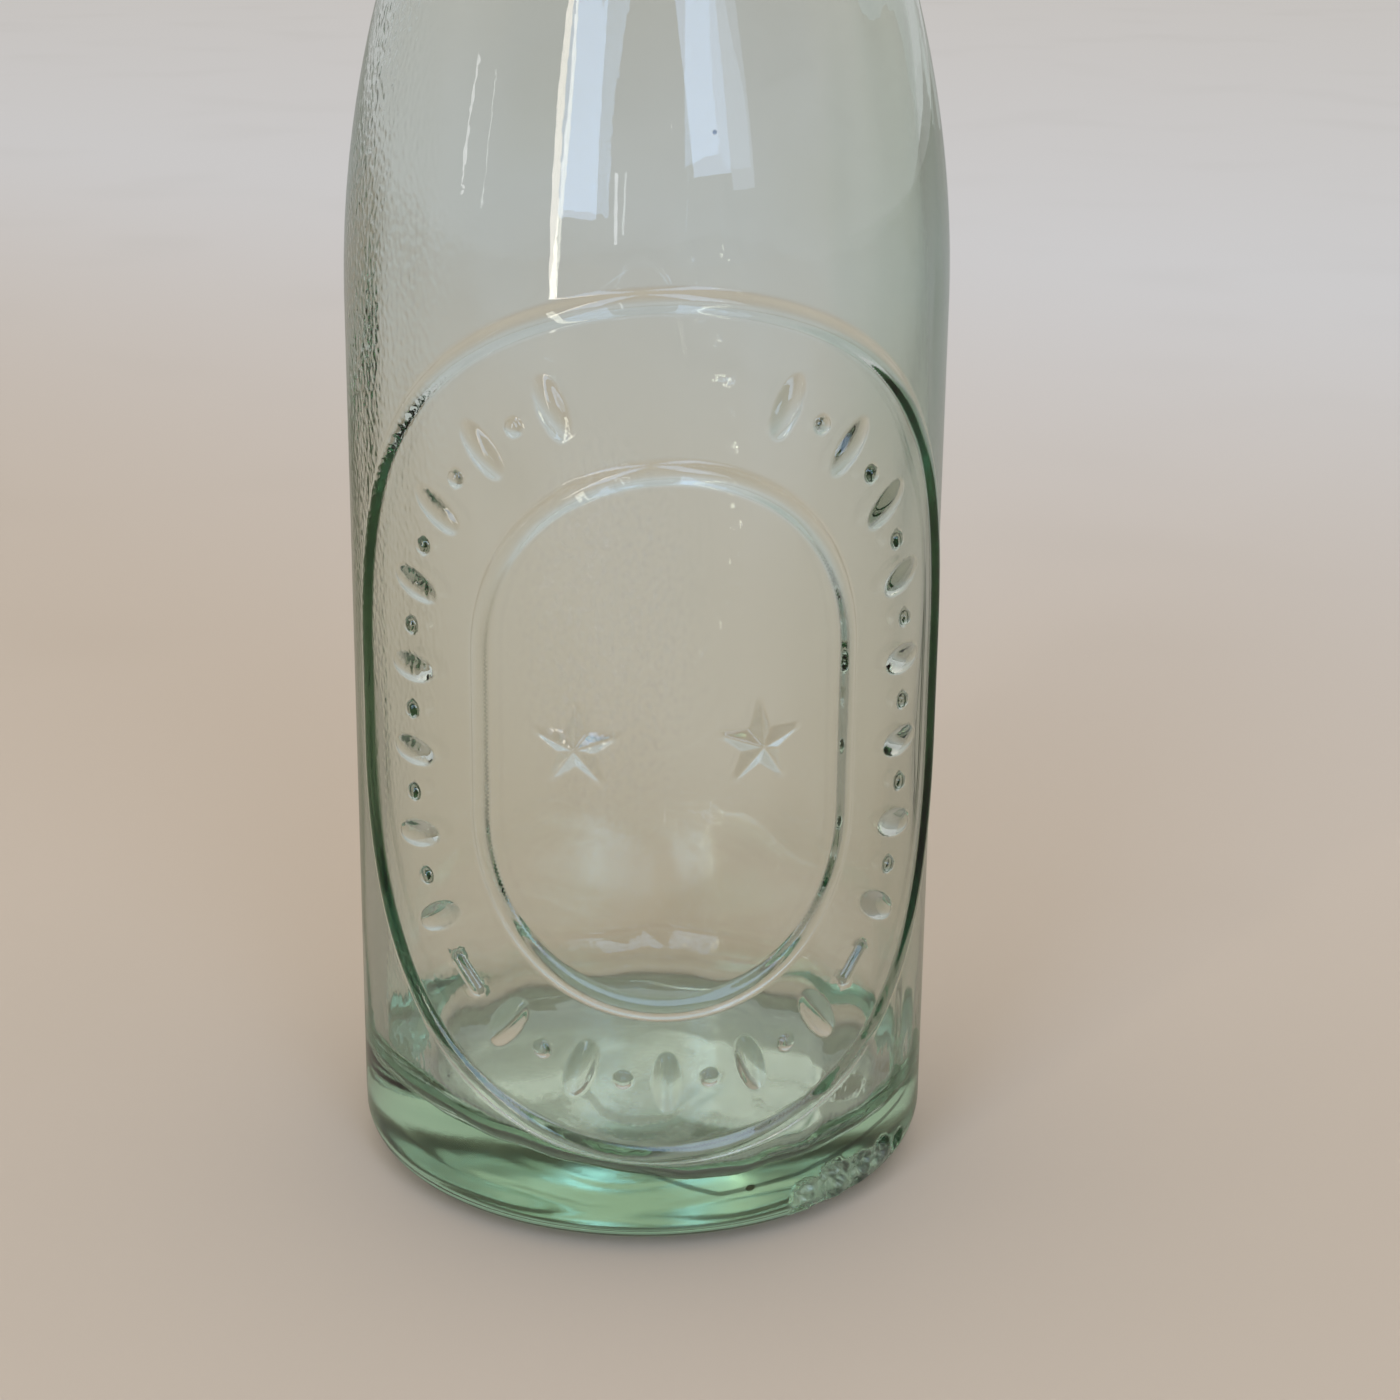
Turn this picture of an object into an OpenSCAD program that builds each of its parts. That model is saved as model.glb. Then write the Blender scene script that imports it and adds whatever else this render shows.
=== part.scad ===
// One-litre bottle of mould-blown glass: thick base, straight wall, long shoulder, banded lip.
// A raised emblem is wrapped round the front: two oval rings, two stars and a belt of grains.
// The heel has a bruise where the glass was knocked.
// Millimetres, +Z up. The origin is on the axis at the standing plane, and the emblem faces -Y.

/* [Body] */
// Outside diameter of the straight wall
body_d = 88; // [84:0.5:96]
// Thickness of the glass in the wall
wall_t = 2.6; // [2:0.1:3.4]
// Height at which the wall starts to turn in to the shoulder
shoulder_z = 133; // [125:1:150]
// Radius of the long outward curve of the shoulder
shoulder_r = 160; // [130:5:190]
// Radius of the inward curve between the shoulder and the neck
neck_curve_r = 45; // [30:1:70]
// Rounding of the outer heel
heel_r = 7; // [5:0.5:8]

/* [Base] */
// Thickness of the glass floor without its crown, midway between its low and its high side
floor_t = 12; // [9:0.5:14]
// How far the floor's high side stands over its middle, measured at the wall
floor_tilt_h = 3.5; // [0:0.5:4.5]
// Direction of the floor's low side, in degrees from the emblem towards +X
floor_low_angle = 20; // [0:5:45]
// Height of the crown in the middle of the floor
floor_crown_h = 4.5; // [1:0.5:5]
// Rounding inside, between the wall and the floor
inner_heel_r = 7; // [4:0.5:10]
// Diameter of the hollow under the base
push_up_d = 64; // [54:1:68]
// Height of the hollow under the base
push_up_h = 2; // [1:0.5:6]

/* [Neck and lip] */
// Outside diameter of the neck
neck_d = 37; // [34:0.5:40]
// Straight length of the neck under the lip band
neck_h = 14; // [6:1:24]
// Diameter of the mouth and of the neck's bore
mouth_d = 29; // [26:0.5:30]
// Outside diameter of the lip band
lip_d = 43; // [41:0.5:48]
// Height of the lip band
lip_h = 15; // [10:0.5:20]
// Rounding of the lip band's outer edges
lip_edge_r = 4; // [2:0.5:4.5]
// Rounding of the mouth's rim
rim_r = 1.5; // [0.5:0.25:1.5]

/* [Rings] */
// Height of the emblem's centre
emblem_z = 78; // [76:0.5:82]
// Width of the outer ring, measured round the wall
outer_ring_w = 108; // [100:1:114]
// Height of the outer ring
outer_ring_h = 124; // [116:1:128]
// Width of the inner ring, measured round the wall
inner_ring_w = 55; // [50:1:60]
// Height of the inner ring
inner_ring_h = 78; // [70:1:84]
// Width of the ridge that draws a ring
ridge_w = 3; // [2:0.1:4]
// How far the ridge stands out of the wall
ridge_h = 0.9; // [0.4:0.1:1.3]

/* [Stars] */
// Radius from a star's centre to its tips
star_r = 7.3; // [5:0.1:9]
// Distance between the two stars' centres, measured round the wall
star_gap = 25.8; // [20:0.2:32]
// How far a star's centre stands out of the wall
star_h = 1.6; // [0.8:0.1:2]

/* [Grain belt] */
// Length of a grain, across the belt
grain_l = 9.5; // [7:0.5:12]
// Width of a grain
grain_w = 4; // [3:0.1:5]
// How far grains, pearls and dashes stand out of the wall
grain_h = 1; // [0.6:0.1:1.3]
// Diameter of the pearls between the grains
pearl_d = 2.6; // [2.2:0.1:3]
// Distance from one grain to the next, along the belt
grain_pitch = 12.5; // [10:0.5:13]
// Number of grains in the run up each side
side_grains = 8; // [5:1:8]
// Number of grains in the run across the foot
foot_grains = 5; // [3:1:5]
// Length of the dash between two runs
dash_l = 7.4; // [5:0.2:9]
// Width of the dash
dash_w = 2.2; // [1.6:0.1:3]
// Bare length of belt at either end of a dash
dash_clear = 3.5; // [2:0.5:4.5]

/* [Bruise] */
// Direction of the bruise's middle, in degrees from the emblem towards +X
bruise_angle = 42; // [20:1:60]
// Depth of the deepest flake
bruise_depth = 1.3; // [0.6:0.1:1.8]

/* [Hidden] */
$fn = 120;
glass_color = [0.66, 0.76, 0.68, 0.55];
past = 1;            // how far a cutter or a tongue reaches past the surface that it meets
touch = 0.005;       // how far two tangent circles are pressed together, so that they surely meet
body_r = body_d / 2;
neck_r = neck_d / 2;
mouth_r = mouth_d / 2;
lip_r = lip_d / 2;
cavity_r = body_r - wall_t;
shoulder_top_z = shoulder_z + curve_height(body_r, neck_r, shoulder_r, neck_curve_r);
lip_z = shoulder_top_z + neck_h;
top_z = lip_z + lip_h;

sink = 1.2;          // how deep the foot of the relief sits in the wall, so that both are one glass
cap_steps = 36;      // steps round one round end of a ring
ridge_sides = 8;     // points over the back of a ridge
star_rim_h = 0.15;   // how far a star's outline stands out of the wall
heel_flare = 9;      // how far the floor's rim leans outwards, so that the tilted floor meets the wall

// The belt's middle line runs half way between the two rings, with round ends and straight sides
belt_r = (outer_ring_w + inner_ring_w) / 4;
belt_straight = (outer_ring_h + inner_ring_h) / 2 - 2 * belt_r;

// Places along the belt are measured from its lowest point, the way up either side
foot_end = (foot_grains - 1) / 2 * grain_pitch;
dash_at = foot_end + grain_w / 2 + dash_clear + dash_l / 2;
side_start = dash_at + dash_l / 2 + dash_clear + grain_w / 2;

// Flakes of the bruise, each as [degrees from its middle, tilt below level, radius, share of the depth]
flakes = [
  [-13, 8, 5, 0.7], [-6, 4, 6, 1], [2, 6, 5, 0.8], [9, 3, 6, 0.6], [17, 6, 5, 0.4],
  [-12, 42, 4, 0.6], [-5, 45, 5, 0.9], [3, 40, 4.5, 0.7]];

// Height over which two tangent arcs, convex then concave, lead from r_low in to r_high
function curve_height(r_low, r_high, convex_r, concave_r) =
  let (reach = convex_r + concave_r, across = reach - (r_low - r_high))
  sqrt(pow(reach - touch, 2) - across * across);

// Radius of a circle whose arc rises by rise over a half chord
function arc_radius(half_chord, rise) = (half_chord * half_chord + rise * rise) / (2 * rise);

// Outer radius of the glass at height z, up the straight wall and into the shoulder
function skin_r(z) = z <= shoulder_z
  ? body_r
  : body_r - shoulder_r + sqrt(shoulder_r * shoulder_r - pow(z - shoulder_z, 2));

// A point of the emblem: s is measured round the straight wall from the front, lift out of the glass
function on_wall(s, z, lift) =
  let (angle = s / body_r * 180 / PI, r = skin_r(z) + lift)
  [r * sin(angle), -r * cos(angle), z];

// Places children on the wall with +Z outwards and +Y up
module place_on_wall(s, z) {
  translate(on_wall(s, z, 0))
    rotate([90, 0, s / body_r * 180 / PI])
      children();
}

// Half section under the two arcs, from the axis out to the curve
module curve_half(r_low, r_high, z_low, convex_r, concave_r) {
  height = curve_height(r_low, r_high, convex_r, concave_r);
  share = convex_r / (convex_r + concave_r);
  z_mid = z_low + height * share;
  r_mid = r_low - (r_low - r_high) * share;
  intersection() {
    translate([r_low - convex_r, z_low]) circle(convex_r, $fn = 360);
    translate([0, z_low]) square([r_low, height * share + past]);
  }
  difference() {
    translate([0, z_mid - past]) square([r_mid, height * (1 - share) + past]);
    translate([r_high + concave_r, z_low + height]) circle(concave_r);
  }
}

// What a rounding takes off the outer corner at [x, y]; up is 1 for a lower corner, -1 for an upper
module corner_waste(x, y, r, up) {
  difference() {
    translate([x - r, up > 0 ? y - past : y - r]) square(r + past);
    translate([x - r, y + up * r]) circle(r);
  }
}

// Half section of the bottle's outside, with the hollow under the base
module outside_half() {
  push_up_r = arc_radius(push_up_d / 2, push_up_h);
  difference() {
    square([body_r, shoulder_z]);
    corner_waste(body_r, 0, heel_r, 1);
    translate([0, push_up_h - push_up_r]) circle(push_up_r, $fn = 360);
  }
  curve_half(body_r, neck_r, shoulder_z, shoulder_r, neck_curve_r);
  translate([0, shoulder_top_z - past]) square([neck_r, neck_h + 2 * past]);
  difference() {
    translate([0, lip_z]) square([lip_r, lip_h]);
    corner_waste(lip_r, lip_z, lip_edge_r, 1);
    corner_waste(lip_r, top_z, lip_edge_r, -1);
  }
}

// Half section of the space inside wall and shoulder, straight down past the floor
module cavity_half() {
  square([cavity_r, shoulder_z]);
  curve_half(cavity_r, mouth_r, shoulder_z, shoulder_r - wall_t, neck_curve_r + wall_t);
}

// Half section of everything over the floor, seen from the centre of the inner heel's rounding.
// The floor is crowned in the middle, and its rounded heel runs on past the wall.
module over_floor_half() {
  flat_r = cavity_r - inner_heel_r;
  crown_r = arc_radius(flat_r, floor_crown_h);
  meet_x = flat_r + (inner_heel_r - touch) * cos(heel_flare);
  meet_z = -(inner_heel_r - touch) * sin(heel_flare);
  end_x = meet_x + top_z * tan(heel_flare);
  end_z = meet_z + top_z;
  difference() {
    union() {
      translate([0, -inner_heel_r]) square([flat_r, inner_heel_r + past]);
      translate([flat_r, 0]) circle(inner_heel_r);
      polygon([[0, meet_z], [meet_x, meet_z], [end_x, end_z], [0, end_z]]);
    }
    translate([0, floor_crown_h - inner_heel_r - crown_r]) circle(crown_r, $fn = 360);
  }
}

// The bore of the neck and mouth, flared by the rim's rounding
module bore_half() {
  bore_z = shoulder_z + curve_height(cavity_r, mouth_r, shoulder_r - wall_t, neck_curve_r + wall_t);
  translate([0, bore_z - past]) square([mouth_r, top_z - bore_z + 2 * past]);
  difference() {
    translate([0, top_z - rim_r]) square([mouth_r + rim_r, rim_r + past]);
    translate([mouth_r + rim_r, top_z - rim_r]) circle(rim_r);
  }
}

// The space inside: the turned section of wall, shoulder and bore, cut off by the tilted floor
module inner_space() {
  intersection() {
    rotate_extrude() {
      cavity_half();
      bore_half();
    }
    translate([0, 0, floor_t + inner_heel_r])
      rotate([asin(floor_tilt_h / cavity_r), 0, floor_low_angle])
        rotate_extrude() over_floor_half();
  }
}

// The blown glass without its relief: wall, base, shoulder, neck and lip
module glass_wall() {
  difference() {
    rotate_extrude() outside_half();
    inner_space();
  }
}

// Corners of the ridge's section as [across, lift]: a round back over a flat sunk foot
function ridge_section(width, height) =
  let (
    back_r = arc_radius(width / 2, height),
    foot_angle = acos(max(-1, (back_r - height - sink) / back_r))
  )
  [for (i = [0 : ridge_sides - 1])
    let (a = -foot_angle + 2 * foot_angle * i / (ridge_sides - 1))
    [back_r * sin(a), height - back_r + back_r * cos(a)]];

// A closed ring of the given outline as [s, z, direction of its outward normal]
function ring_path(width, height) =
  let (end_r = width / 2, straight = height / 2 - end_r)
  [for (side = [0, 1], i = [0 : cap_steps])
    let (a = side * 180 + 180 * i / cap_steps)
    [end_r * cos(a), emblem_z + end_r * sin(a) + (side == 0 ? straight : -straight), a]];

// Sweeps the ridge's section along a ring that is wrapped round the wall
module ring(width, height) {
  path = ring_path(width, height);
  section = ridge_section(ridge_w, ridge_h);
  n = len(section);
  points = [for (p = path, c = section)
    on_wall(p[0] + c[0] * cos(p[2]), p[1] + c[0] * sin(p[2]), c[1])];
  faces = [for (i = [0 : len(path) - 1], j = [0 : n - 1])
    let (k = (i + 1) % len(path), m = (j + 1) % n)
    each [[i * n + j, k * n + m, i * n + m], [i * n + j, k * n + j, k * n + m]]];
  polyhedron(points, faces);
}

// A five-pointed star with a ridge along each arm, its foot sunk in the wall
module star(s) {
  notch_r = star_r * sin(18) / sin(54);
  rim = [for (i = [0 : 9])
    let (a = 90 + 36 * i, r = i % 2 == 0 ? star_r : notch_r)
    [s + r * cos(a), emblem_z + r * sin(a)]];
  points = concat(
    [for (p = rim) on_wall(p[0], p[1], -sink)],
    [for (p = rim) on_wall(p[0], p[1], star_rim_h)],
    [on_wall(s, emblem_z, -sink), on_wall(s, emblem_z, star_h)]);
  faces = [for (i = [0 : 9])
    let (k = (i + 1) % 10)
    each [[20, i, k], [i, i + 10, k + 10], [i, k + 10, k], [i + 10, 21, k + 10]]];
  polyhedron(points, faces);
}

// A grain is half a spindle, pointed at both ends, with its long axis along X
module grain() {
  back_r = arc_radius(grain_w / 2, grain_h);
  sweep_r = arc_radius(grain_l / 2, grain_h);
  half_l = sqrt(sweep_r * sweep_r - pow(sweep_r - back_r, 2));
  translate([0, 0, grain_h - back_r])
    rotate([0, 90, 0])
      rotate([0, 0, 90])
        rotate_extrude(angle = 180)
          intersection() {
            translate([back_r - sweep_r, 0]) circle(sweep_r, $fn = 240);
            translate([0, -half_l]) square([back_r, 2 * half_l]);
          }
}

// A pearl is the cap of a sphere
module pearl() {
  ball_r = arc_radius(pearl_d / 2, grain_h);
  translate([0, 0, grain_h - ball_r]) sphere(ball_r, $fn = 48);
}

// A dash is a bar with a round back and round ends, along X
module dash() {
  back_r = arc_radius(dash_w / 2, grain_h);
  reach = dash_l / 2 - dash_w / 2;
  translate([0, 0, grain_h - back_r]) {
    rotate([0, 90, 0]) cylinder(r = back_r, h = 2 * reach, center = true, $fn = 48);
    for (side = [-1, 1])
      translate([side * reach, 0, 0]) sphere(back_r, $fn = 48);
  }
}

// Puts children at a distance along the belt, up the side given as 1 or -1, with +X across the belt
module place_on_belt(along, side) {
  over = along - belt_r * PI / 2;
  angle = (min(over, 0) + max(over - belt_straight, 0)) / belt_r * 180 / PI;
  rise = max(0, min(over, belt_straight)) - belt_straight / 2;
  place_on_wall(side * belt_r * cos(angle), emblem_z + rise + belt_r * sin(angle))
    rotate([0, 0, side > 0 ? angle : 180 - angle])
      children();
}

// A run of grains with a pearl between each two, from a start along the belt
module grain_run(start, count, side) {
  for (i = [0 : count - 1])
    place_on_belt(start + i * grain_pitch, side) grain();
  for (i = [1 : count - 1])
    place_on_belt(start + (i - 0.5) * grain_pitch, side) pearl();
}

// The belt between the rings: a run of grains up each side and one across the foot, dashes between
module belt() {
  for (side = [-1, 1]) {
    grain_run(side_start, side_grains, side);
    place_on_belt(dash_at, side) rotate([0, 0, 90]) dash();
  }
  for (i = [0 : foot_grains - 1])
    let (along = i * grain_pitch - foot_end)
    place_on_belt(abs(along), along < 0 ? -1 : 1) grain();
  for (i = [1 : foot_grains - 1])
    let (along = (i - 0.5) * grain_pitch - foot_end)
    place_on_belt(abs(along), along < 0 ? -1 : 1) pearl();
}

module emblem() {
  ring(outer_ring_w, outer_ring_h);
  ring(inner_ring_w, inner_ring_h);
  for (side = [-1, 1])
    star(side * star_gap / 2);
  belt();
}

// The bruise: shallow shell-shaped flakes knocked out round the heel
module bruise() {
  for (flake = flakes)
    let (reach = heel_r + flake[2] - bruise_depth * flake[3])
    rotate([0, 0, bruise_angle + flake[0]])
      translate([0, -(body_r - heel_r + reach * cos(flake[1])), heel_r - reach * sin(flake[1])])
        sphere(flake[2], $fn = 48);
}

module bottle() {
  color(glass_color)
    difference() {
      union() {
        glass_wall();
        emblem();
      }
      bruise();
    }
}

bottle();
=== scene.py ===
"""A one-litre bottle of pale green blown glass, standing on a plain pale table.

The bottle is one piece of glass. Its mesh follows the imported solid: the same section turned about the
axis, with the raised emblem, the uneven inside and the bruised heel worked into it. The outside of the
wall is unrolled to a flat sheet, triangulated closely round every raised figure, and rolled up again.
Lengths are in millimetres in the classes that make the mesh, up to the step that hands it over in
metres. Materials, table, camera and windows are in metres.
"""

from __future__ import annotations

import logging
import math
from dataclasses import dataclass, field
from enum import Enum
from typing import Protocol

import bpy
import numpy as np
from mathutils import Matrix, Vector
from mathutils.geometry import delaunay_2d_cdt
from mathutils.kdtree import KDTree


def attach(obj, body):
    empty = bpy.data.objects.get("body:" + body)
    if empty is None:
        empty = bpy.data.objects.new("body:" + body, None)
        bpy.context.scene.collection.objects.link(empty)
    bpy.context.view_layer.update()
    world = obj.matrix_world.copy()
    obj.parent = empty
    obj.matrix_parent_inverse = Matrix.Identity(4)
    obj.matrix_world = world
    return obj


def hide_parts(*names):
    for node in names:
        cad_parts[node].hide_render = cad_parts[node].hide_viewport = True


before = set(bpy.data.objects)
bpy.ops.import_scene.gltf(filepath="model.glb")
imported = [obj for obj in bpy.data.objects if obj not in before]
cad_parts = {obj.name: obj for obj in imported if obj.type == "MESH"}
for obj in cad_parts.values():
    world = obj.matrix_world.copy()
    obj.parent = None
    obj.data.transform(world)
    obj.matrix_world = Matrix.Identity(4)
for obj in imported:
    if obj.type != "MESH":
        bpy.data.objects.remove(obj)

Array = np.ndarray
Pair = tuple[float, float]
Triple = tuple[float, float, float]
Colour = tuple[float, float, float, float]
Ramp = tuple[float, float, float, float]

log = logging.getLogger("bottle")
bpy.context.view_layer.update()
MM = 0.001
NODE = "bottle"
BODY = "root"
SEED = 7
LIGHT_BOUNCES = 64
CLEAR: Colour = (1.0, 1.0, 1.0, 1.0)
DARK: Colour = (0.0, 0.0, 0.0, 1.0)
LEVEL: Triple = (1.0, 1.0, 0.0)
RIGHT_ANGLE = 90.0
# Height that a raised figure has far outside its outline
DEPTH_OUTSIDE = -2.0
# How far two arcs of the section reach into each other where they meet
TOUCH = 0.005
# Share of a round back's radius at which it goes over into a straight foot
BACK_EDGE = 0.93
# Distance between the rows of a hexagonal grid, as a share of its step
ROW_SHARE = 0.866


class Side(Enum):
    """A side of the bottle's front, as the sign of its places round the wall."""

    LEFT = -1
    RIGHT = 1


class Along(Enum):
    """The measures of a place on the bottle: along the three axes, and out from the middle line."""

    X = "across the front"
    Y = "from front to back"
    Z = "up"
    REACH = "out from the middle line"


class Blend(Enum):
    """How the second colour of a mix is put on the first."""

    COVER = "MIX"
    STAIN = "MULTIPLY"


def arc_radius(half_chord: float, rise: float) -> float:
    """Radius of the circle whose arc rises by rise over a half chord."""
    return (half_chord**2 + rise**2) / (2 * rise)


def smooth_step(low: float, high: float, value: Array) -> Array:
    """Rises smoothly from 0 where a value is low to 1 where it is high."""
    t = np.clip((value - low) / (high - low), 0.0, 1.0)
    return t * t * (3 - 2 * t)


def soft_floor(height: Array, softness: float) -> Array:
    """Lifts negative heights to zero with a rounded foot, as molten glass rounds it.

    Args:
        height: Heights that fall below zero outside a raised figure.
        softness: Width of the rounding, in the unit of the heights.

    Returns:
        Heights of zero or more.
    """
    lifted = 0.5 * (height + np.sqrt(height**2 + softness**2))
    tail = 0.5 * (DEPTH_OUTSIDE + math.hypot(DEPTH_OUTSIDE, softness))
    return np.maximum(lifted - tail - 0.5 * softness * np.exp(-np.abs(height) / softness), 0.0)


def turned(x: Array, y: Array, degrees: float) -> tuple[Array, Array]:
    """Coordinates of points in axes that are turned anticlockwise by some degrees."""
    c, s = math.cos(math.radians(degrees)), math.sin(math.radians(degrees))
    return c * x + s * y, c * y - s * x


def round_back(across: Array, width: float, height: float) -> Array:
    """Section of a round-backed ridge.

    Args:
        across: Distance from the ridge's middle line.
        width: Width of the ridge where it meets the wall.
        height: Height of its back.

    Returns:
        Height over the wall, which goes on falling outside the ridge.
    """
    back_r = arc_radius(width / 2, height)
    edge = BACK_EDGE * back_r
    inside = np.sqrt(np.maximum(back_r**2 - across**2, back_r**2 - edge**2))
    fall = edge / math.sqrt(back_r**2 - edge**2)
    return inside - back_r + height - fall * np.maximum(across - edge, 0.0)


def hex_grid(across: Pair, up: Pair, step: float) -> Array:
    """Points of a hexagonal grid that fills a rectangle, clear of its edges by half a step.

    Args:
        across: Both ends of the rectangle across.
        up: Both ends of the rectangle upwards.
        step: Distance between two points.

    Returns:
        The points, across and up.
    """
    rows = max(1, round((up[1] - up[0]) / (step * ROW_SHARE)))
    columns = max(1, round((across[1] - across[0]) / step))
    pitch, rise = (across[1] - across[0]) / columns, (up[1] - up[0]) / rows
    row, column = np.mgrid[0:rows, 0:columns]
    x = across[0] + (column + 0.25 + 0.5 * (row % 2)) * pitch
    y = up[0] + (row + 0.5) * rise
    return np.stack([x.ravel(), y.ravel()], 1)


def spread(fixed: Array, offered: Array, gap: float, thin: bool = True) -> Array:
    """Keeps the offered points that lie clear of the fixed ones.

    Args:
        fixed: Points that are there already.
        offered: Points that may be added.
        gap: Least distance from a fixed point, or from a later offered one where thin is set.
        thin: Whether the offered points are thinned among themselves.

    Returns:
        The kept points. Where thin is set, later offers win over earlier ones.
    """
    known = np.concatenate([fixed, offered]) if thin else fixed
    tree = KDTree(len(known))
    for i, (x, y) in enumerate(known.tolist()):
        tree.insert((x, y, 0.0), i)
    tree.balance()
    kept = []
    for i, (x, y) in enumerate(offered.tolist()):
        near = tree.find_range((x, y, 0.0), gap)
        own = i + len(fixed)
        kept.append(all(j <= own for _, j, _ in near) if thin else not near)
    return offered[np.array(kept)]


class Waves:
    """Smooth, seeded unevenness: a sum of sine waves over a plane."""

    def __init__(self, seed: int, count: int, wavelength: Pair, stretch: float = 1.0) -> None:
        """Draws the waves.

        Args:
            seed: Seed of the random numbers.
            count: Number of waves in the sum.
            wavelength: Shortest and longest wave, in millimetres.
            stretch: How many times longer the waves are along the second axis.
        """
        rng = np.random.default_rng(seed)
        self.angle = rng.uniform(0, 2 * math.pi, count)
        self.number = 2 * math.pi / rng.uniform(*wavelength, count)
        self.phase = rng.uniform(0, 2 * math.pi, count)
        self.stretch = stretch

    def at(self, s: Array, z: Array) -> Array:
        """Height of the sum at each point.

        Args:
            s: Places along the first axis.
            z: Places along the second axis.

        Returns:
            Heights, mostly between -1 and 1.
        """
        total = np.zeros(np.broadcast(s, z).shape)
        for angle, number, phase in zip(self.angle, self.number, self.phase):
            along = s * math.cos(angle) + z * math.sin(angle) / self.stretch
            total += np.sin(number * along + phase)
        return total / math.sqrt(len(self.angle))


class Figure(Protocol):
    """A raised figure on the wall: its height, and the points that mesh it well."""

    def relief(self, s: Array, z: Array) -> Array:
        """Height of the figure, below zero outside it."""

    def mesh_points(self) -> Array:
        """Points of the wall that follow the figure's edges."""


@dataclass(frozen=True)
class Ring:
    """A raised oval ridge with round ends, wrapped round the wall."""

    width: float
    height: float
    centre_z: float
    ridge_w: float = 3.0
    ridge_h: float = 0.9
    step: float = 0.62
    offsets: tuple[float, ...] = (0.0, 0.3, 0.6, 0.9, 1.15, 1.35, 1.55, 1.8, 2.2)

    @property
    def end_r(self) -> float:
        """Radius of the round ends."""
        return self.width / 2

    @property
    def straight(self) -> float:
        """Half the length of the straight sides."""
        return self.height / 2 - self.end_r

    def relief(self, s: Array, z: Array) -> Array:
        """Height of the ridge's round back.

        Args:
            s: Places round the wall.
            z: Places up the wall.

        Returns:
            Heights, below zero outside the ridge.
        """
        up = z - self.centre_z
        up = up - np.clip(up, -self.straight, self.straight)
        return round_back(np.abs(np.hypot(s, up) - self.end_r), self.ridge_w, self.ridge_h)

    def mesh_points(self) -> Array:
        """Rows of points beside the ridge's middle line.

        Returns:
            The points, round and up the wall.
        """
        rows = []
        length = 2 * math.pi * self.end_r + 4 * self.straight
        count = round(length / self.step)
        offsets = sorted({side.value * offset for offset in self.offsets for side in Side})
        for index, offset in enumerate(offsets):
            along = (np.arange(count) + 0.5 * (index % 2)) * length / count
            rows.append(self._oval(along, self.end_r + offset))
        return np.concatenate(rows)

    def _oval(self, along: Array, radius: float) -> Array:
        """Points of the oval.

        Args:
            along: Distances along the ridge's middle line.
            radius: Radius of the round ends that the points are moved out to.

        Returns:
            The points, round and up the wall.
        """
        arc_length, side = math.pi * self.end_r, 2 * self.straight
        part = np.mod(along, 2 * (arc_length + side))
        half = part >= arc_length + side
        part = np.where(half, part - arc_length - side, part)
        angle = np.minimum(part, arc_length) / self.end_r
        rise = self.straight - np.maximum(part - arc_length, 0.0)
        sign = np.where(half, -1.0, 1.0)
        s = sign * radius * np.cos(angle)
        z = sign * (radius * np.sin(angle) + rise)
        return np.stack([s, z + self.centre_z], 1)


@dataclass(frozen=True)
class Star:
    """A raised five-pointed star with a ridge along each arm."""

    s: float
    z: float
    radius: float = 7.3
    height: float = 1.6
    crest: float = 0.1
    step: float = 0.36
    levels: tuple[float, ...] = (
        0.04, 0.1, 0.17, 0.25, 0.33, 0.41, 0.49, 0.57, 0.65,
        0.73, 0.81, 0.88, 0.94, 0.99, 1.04, 1.1, 1.2, 1.34,
    )

    @property
    def notch(self) -> float:
        """Distance from the middle to the inner corners."""
        return self.radius * math.sin(math.radians(18)) / math.sin(math.radians(54))

    def relief(self, s: Array, z: Array) -> Array:
        """Height of the star's sloping facets.

        Args:
            s: Places round the wall.
            z: Places up the wall.

        Returns:
            Heights, below zero outside the star's outline.
        """
        x, y = s - self.s, z - self.z
        fifth = math.radians(72)
        turn = np.mod(np.arctan2(x, y) + fifth / 2, fifth) - fifth / 2
        reach = np.hypot(x, y)
        px = reach * np.cos(turn)
        py = np.sqrt((reach * np.sin(turn)) ** 2 + self.crest**2) - 0.5 * self.crest
        nx, ny = self.notch * math.cos(fifth / 2), self.notch * math.sin(fifth / 2)
        edge = (ny * px + (self.radius - nx) * py) / (ny * self.radius)
        return np.maximum(self.height * (1 - edge), DEPTH_OUTSIDE)

    def mesh_points(self) -> Array:
        """Nested outlines of the star, down to its apex.

        Returns:
            The points, round and up the wall.
        """
        corners = []
        for corner in range(10):
            reach = self.notch if corner % 2 else self.radius
            angle = math.radians(36 * corner)
            corners.append((reach * math.sin(angle), reach * math.cos(angle)))
        points = [(0.0, 0.0)]
        for level in self.levels:
            pieces = max(1, round(level * math.dist(corners[0], corners[1]) / self.step))
            for first, second in zip(corners, corners[1:] + corners[:1]):
                for i in range(pieces):
                    t = i / pieces
                    points.append(tuple(level * (a * (1 - t) + b * t) for a, b in zip(first, second)))
        return np.array(points) + (self.s, self.z)


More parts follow.
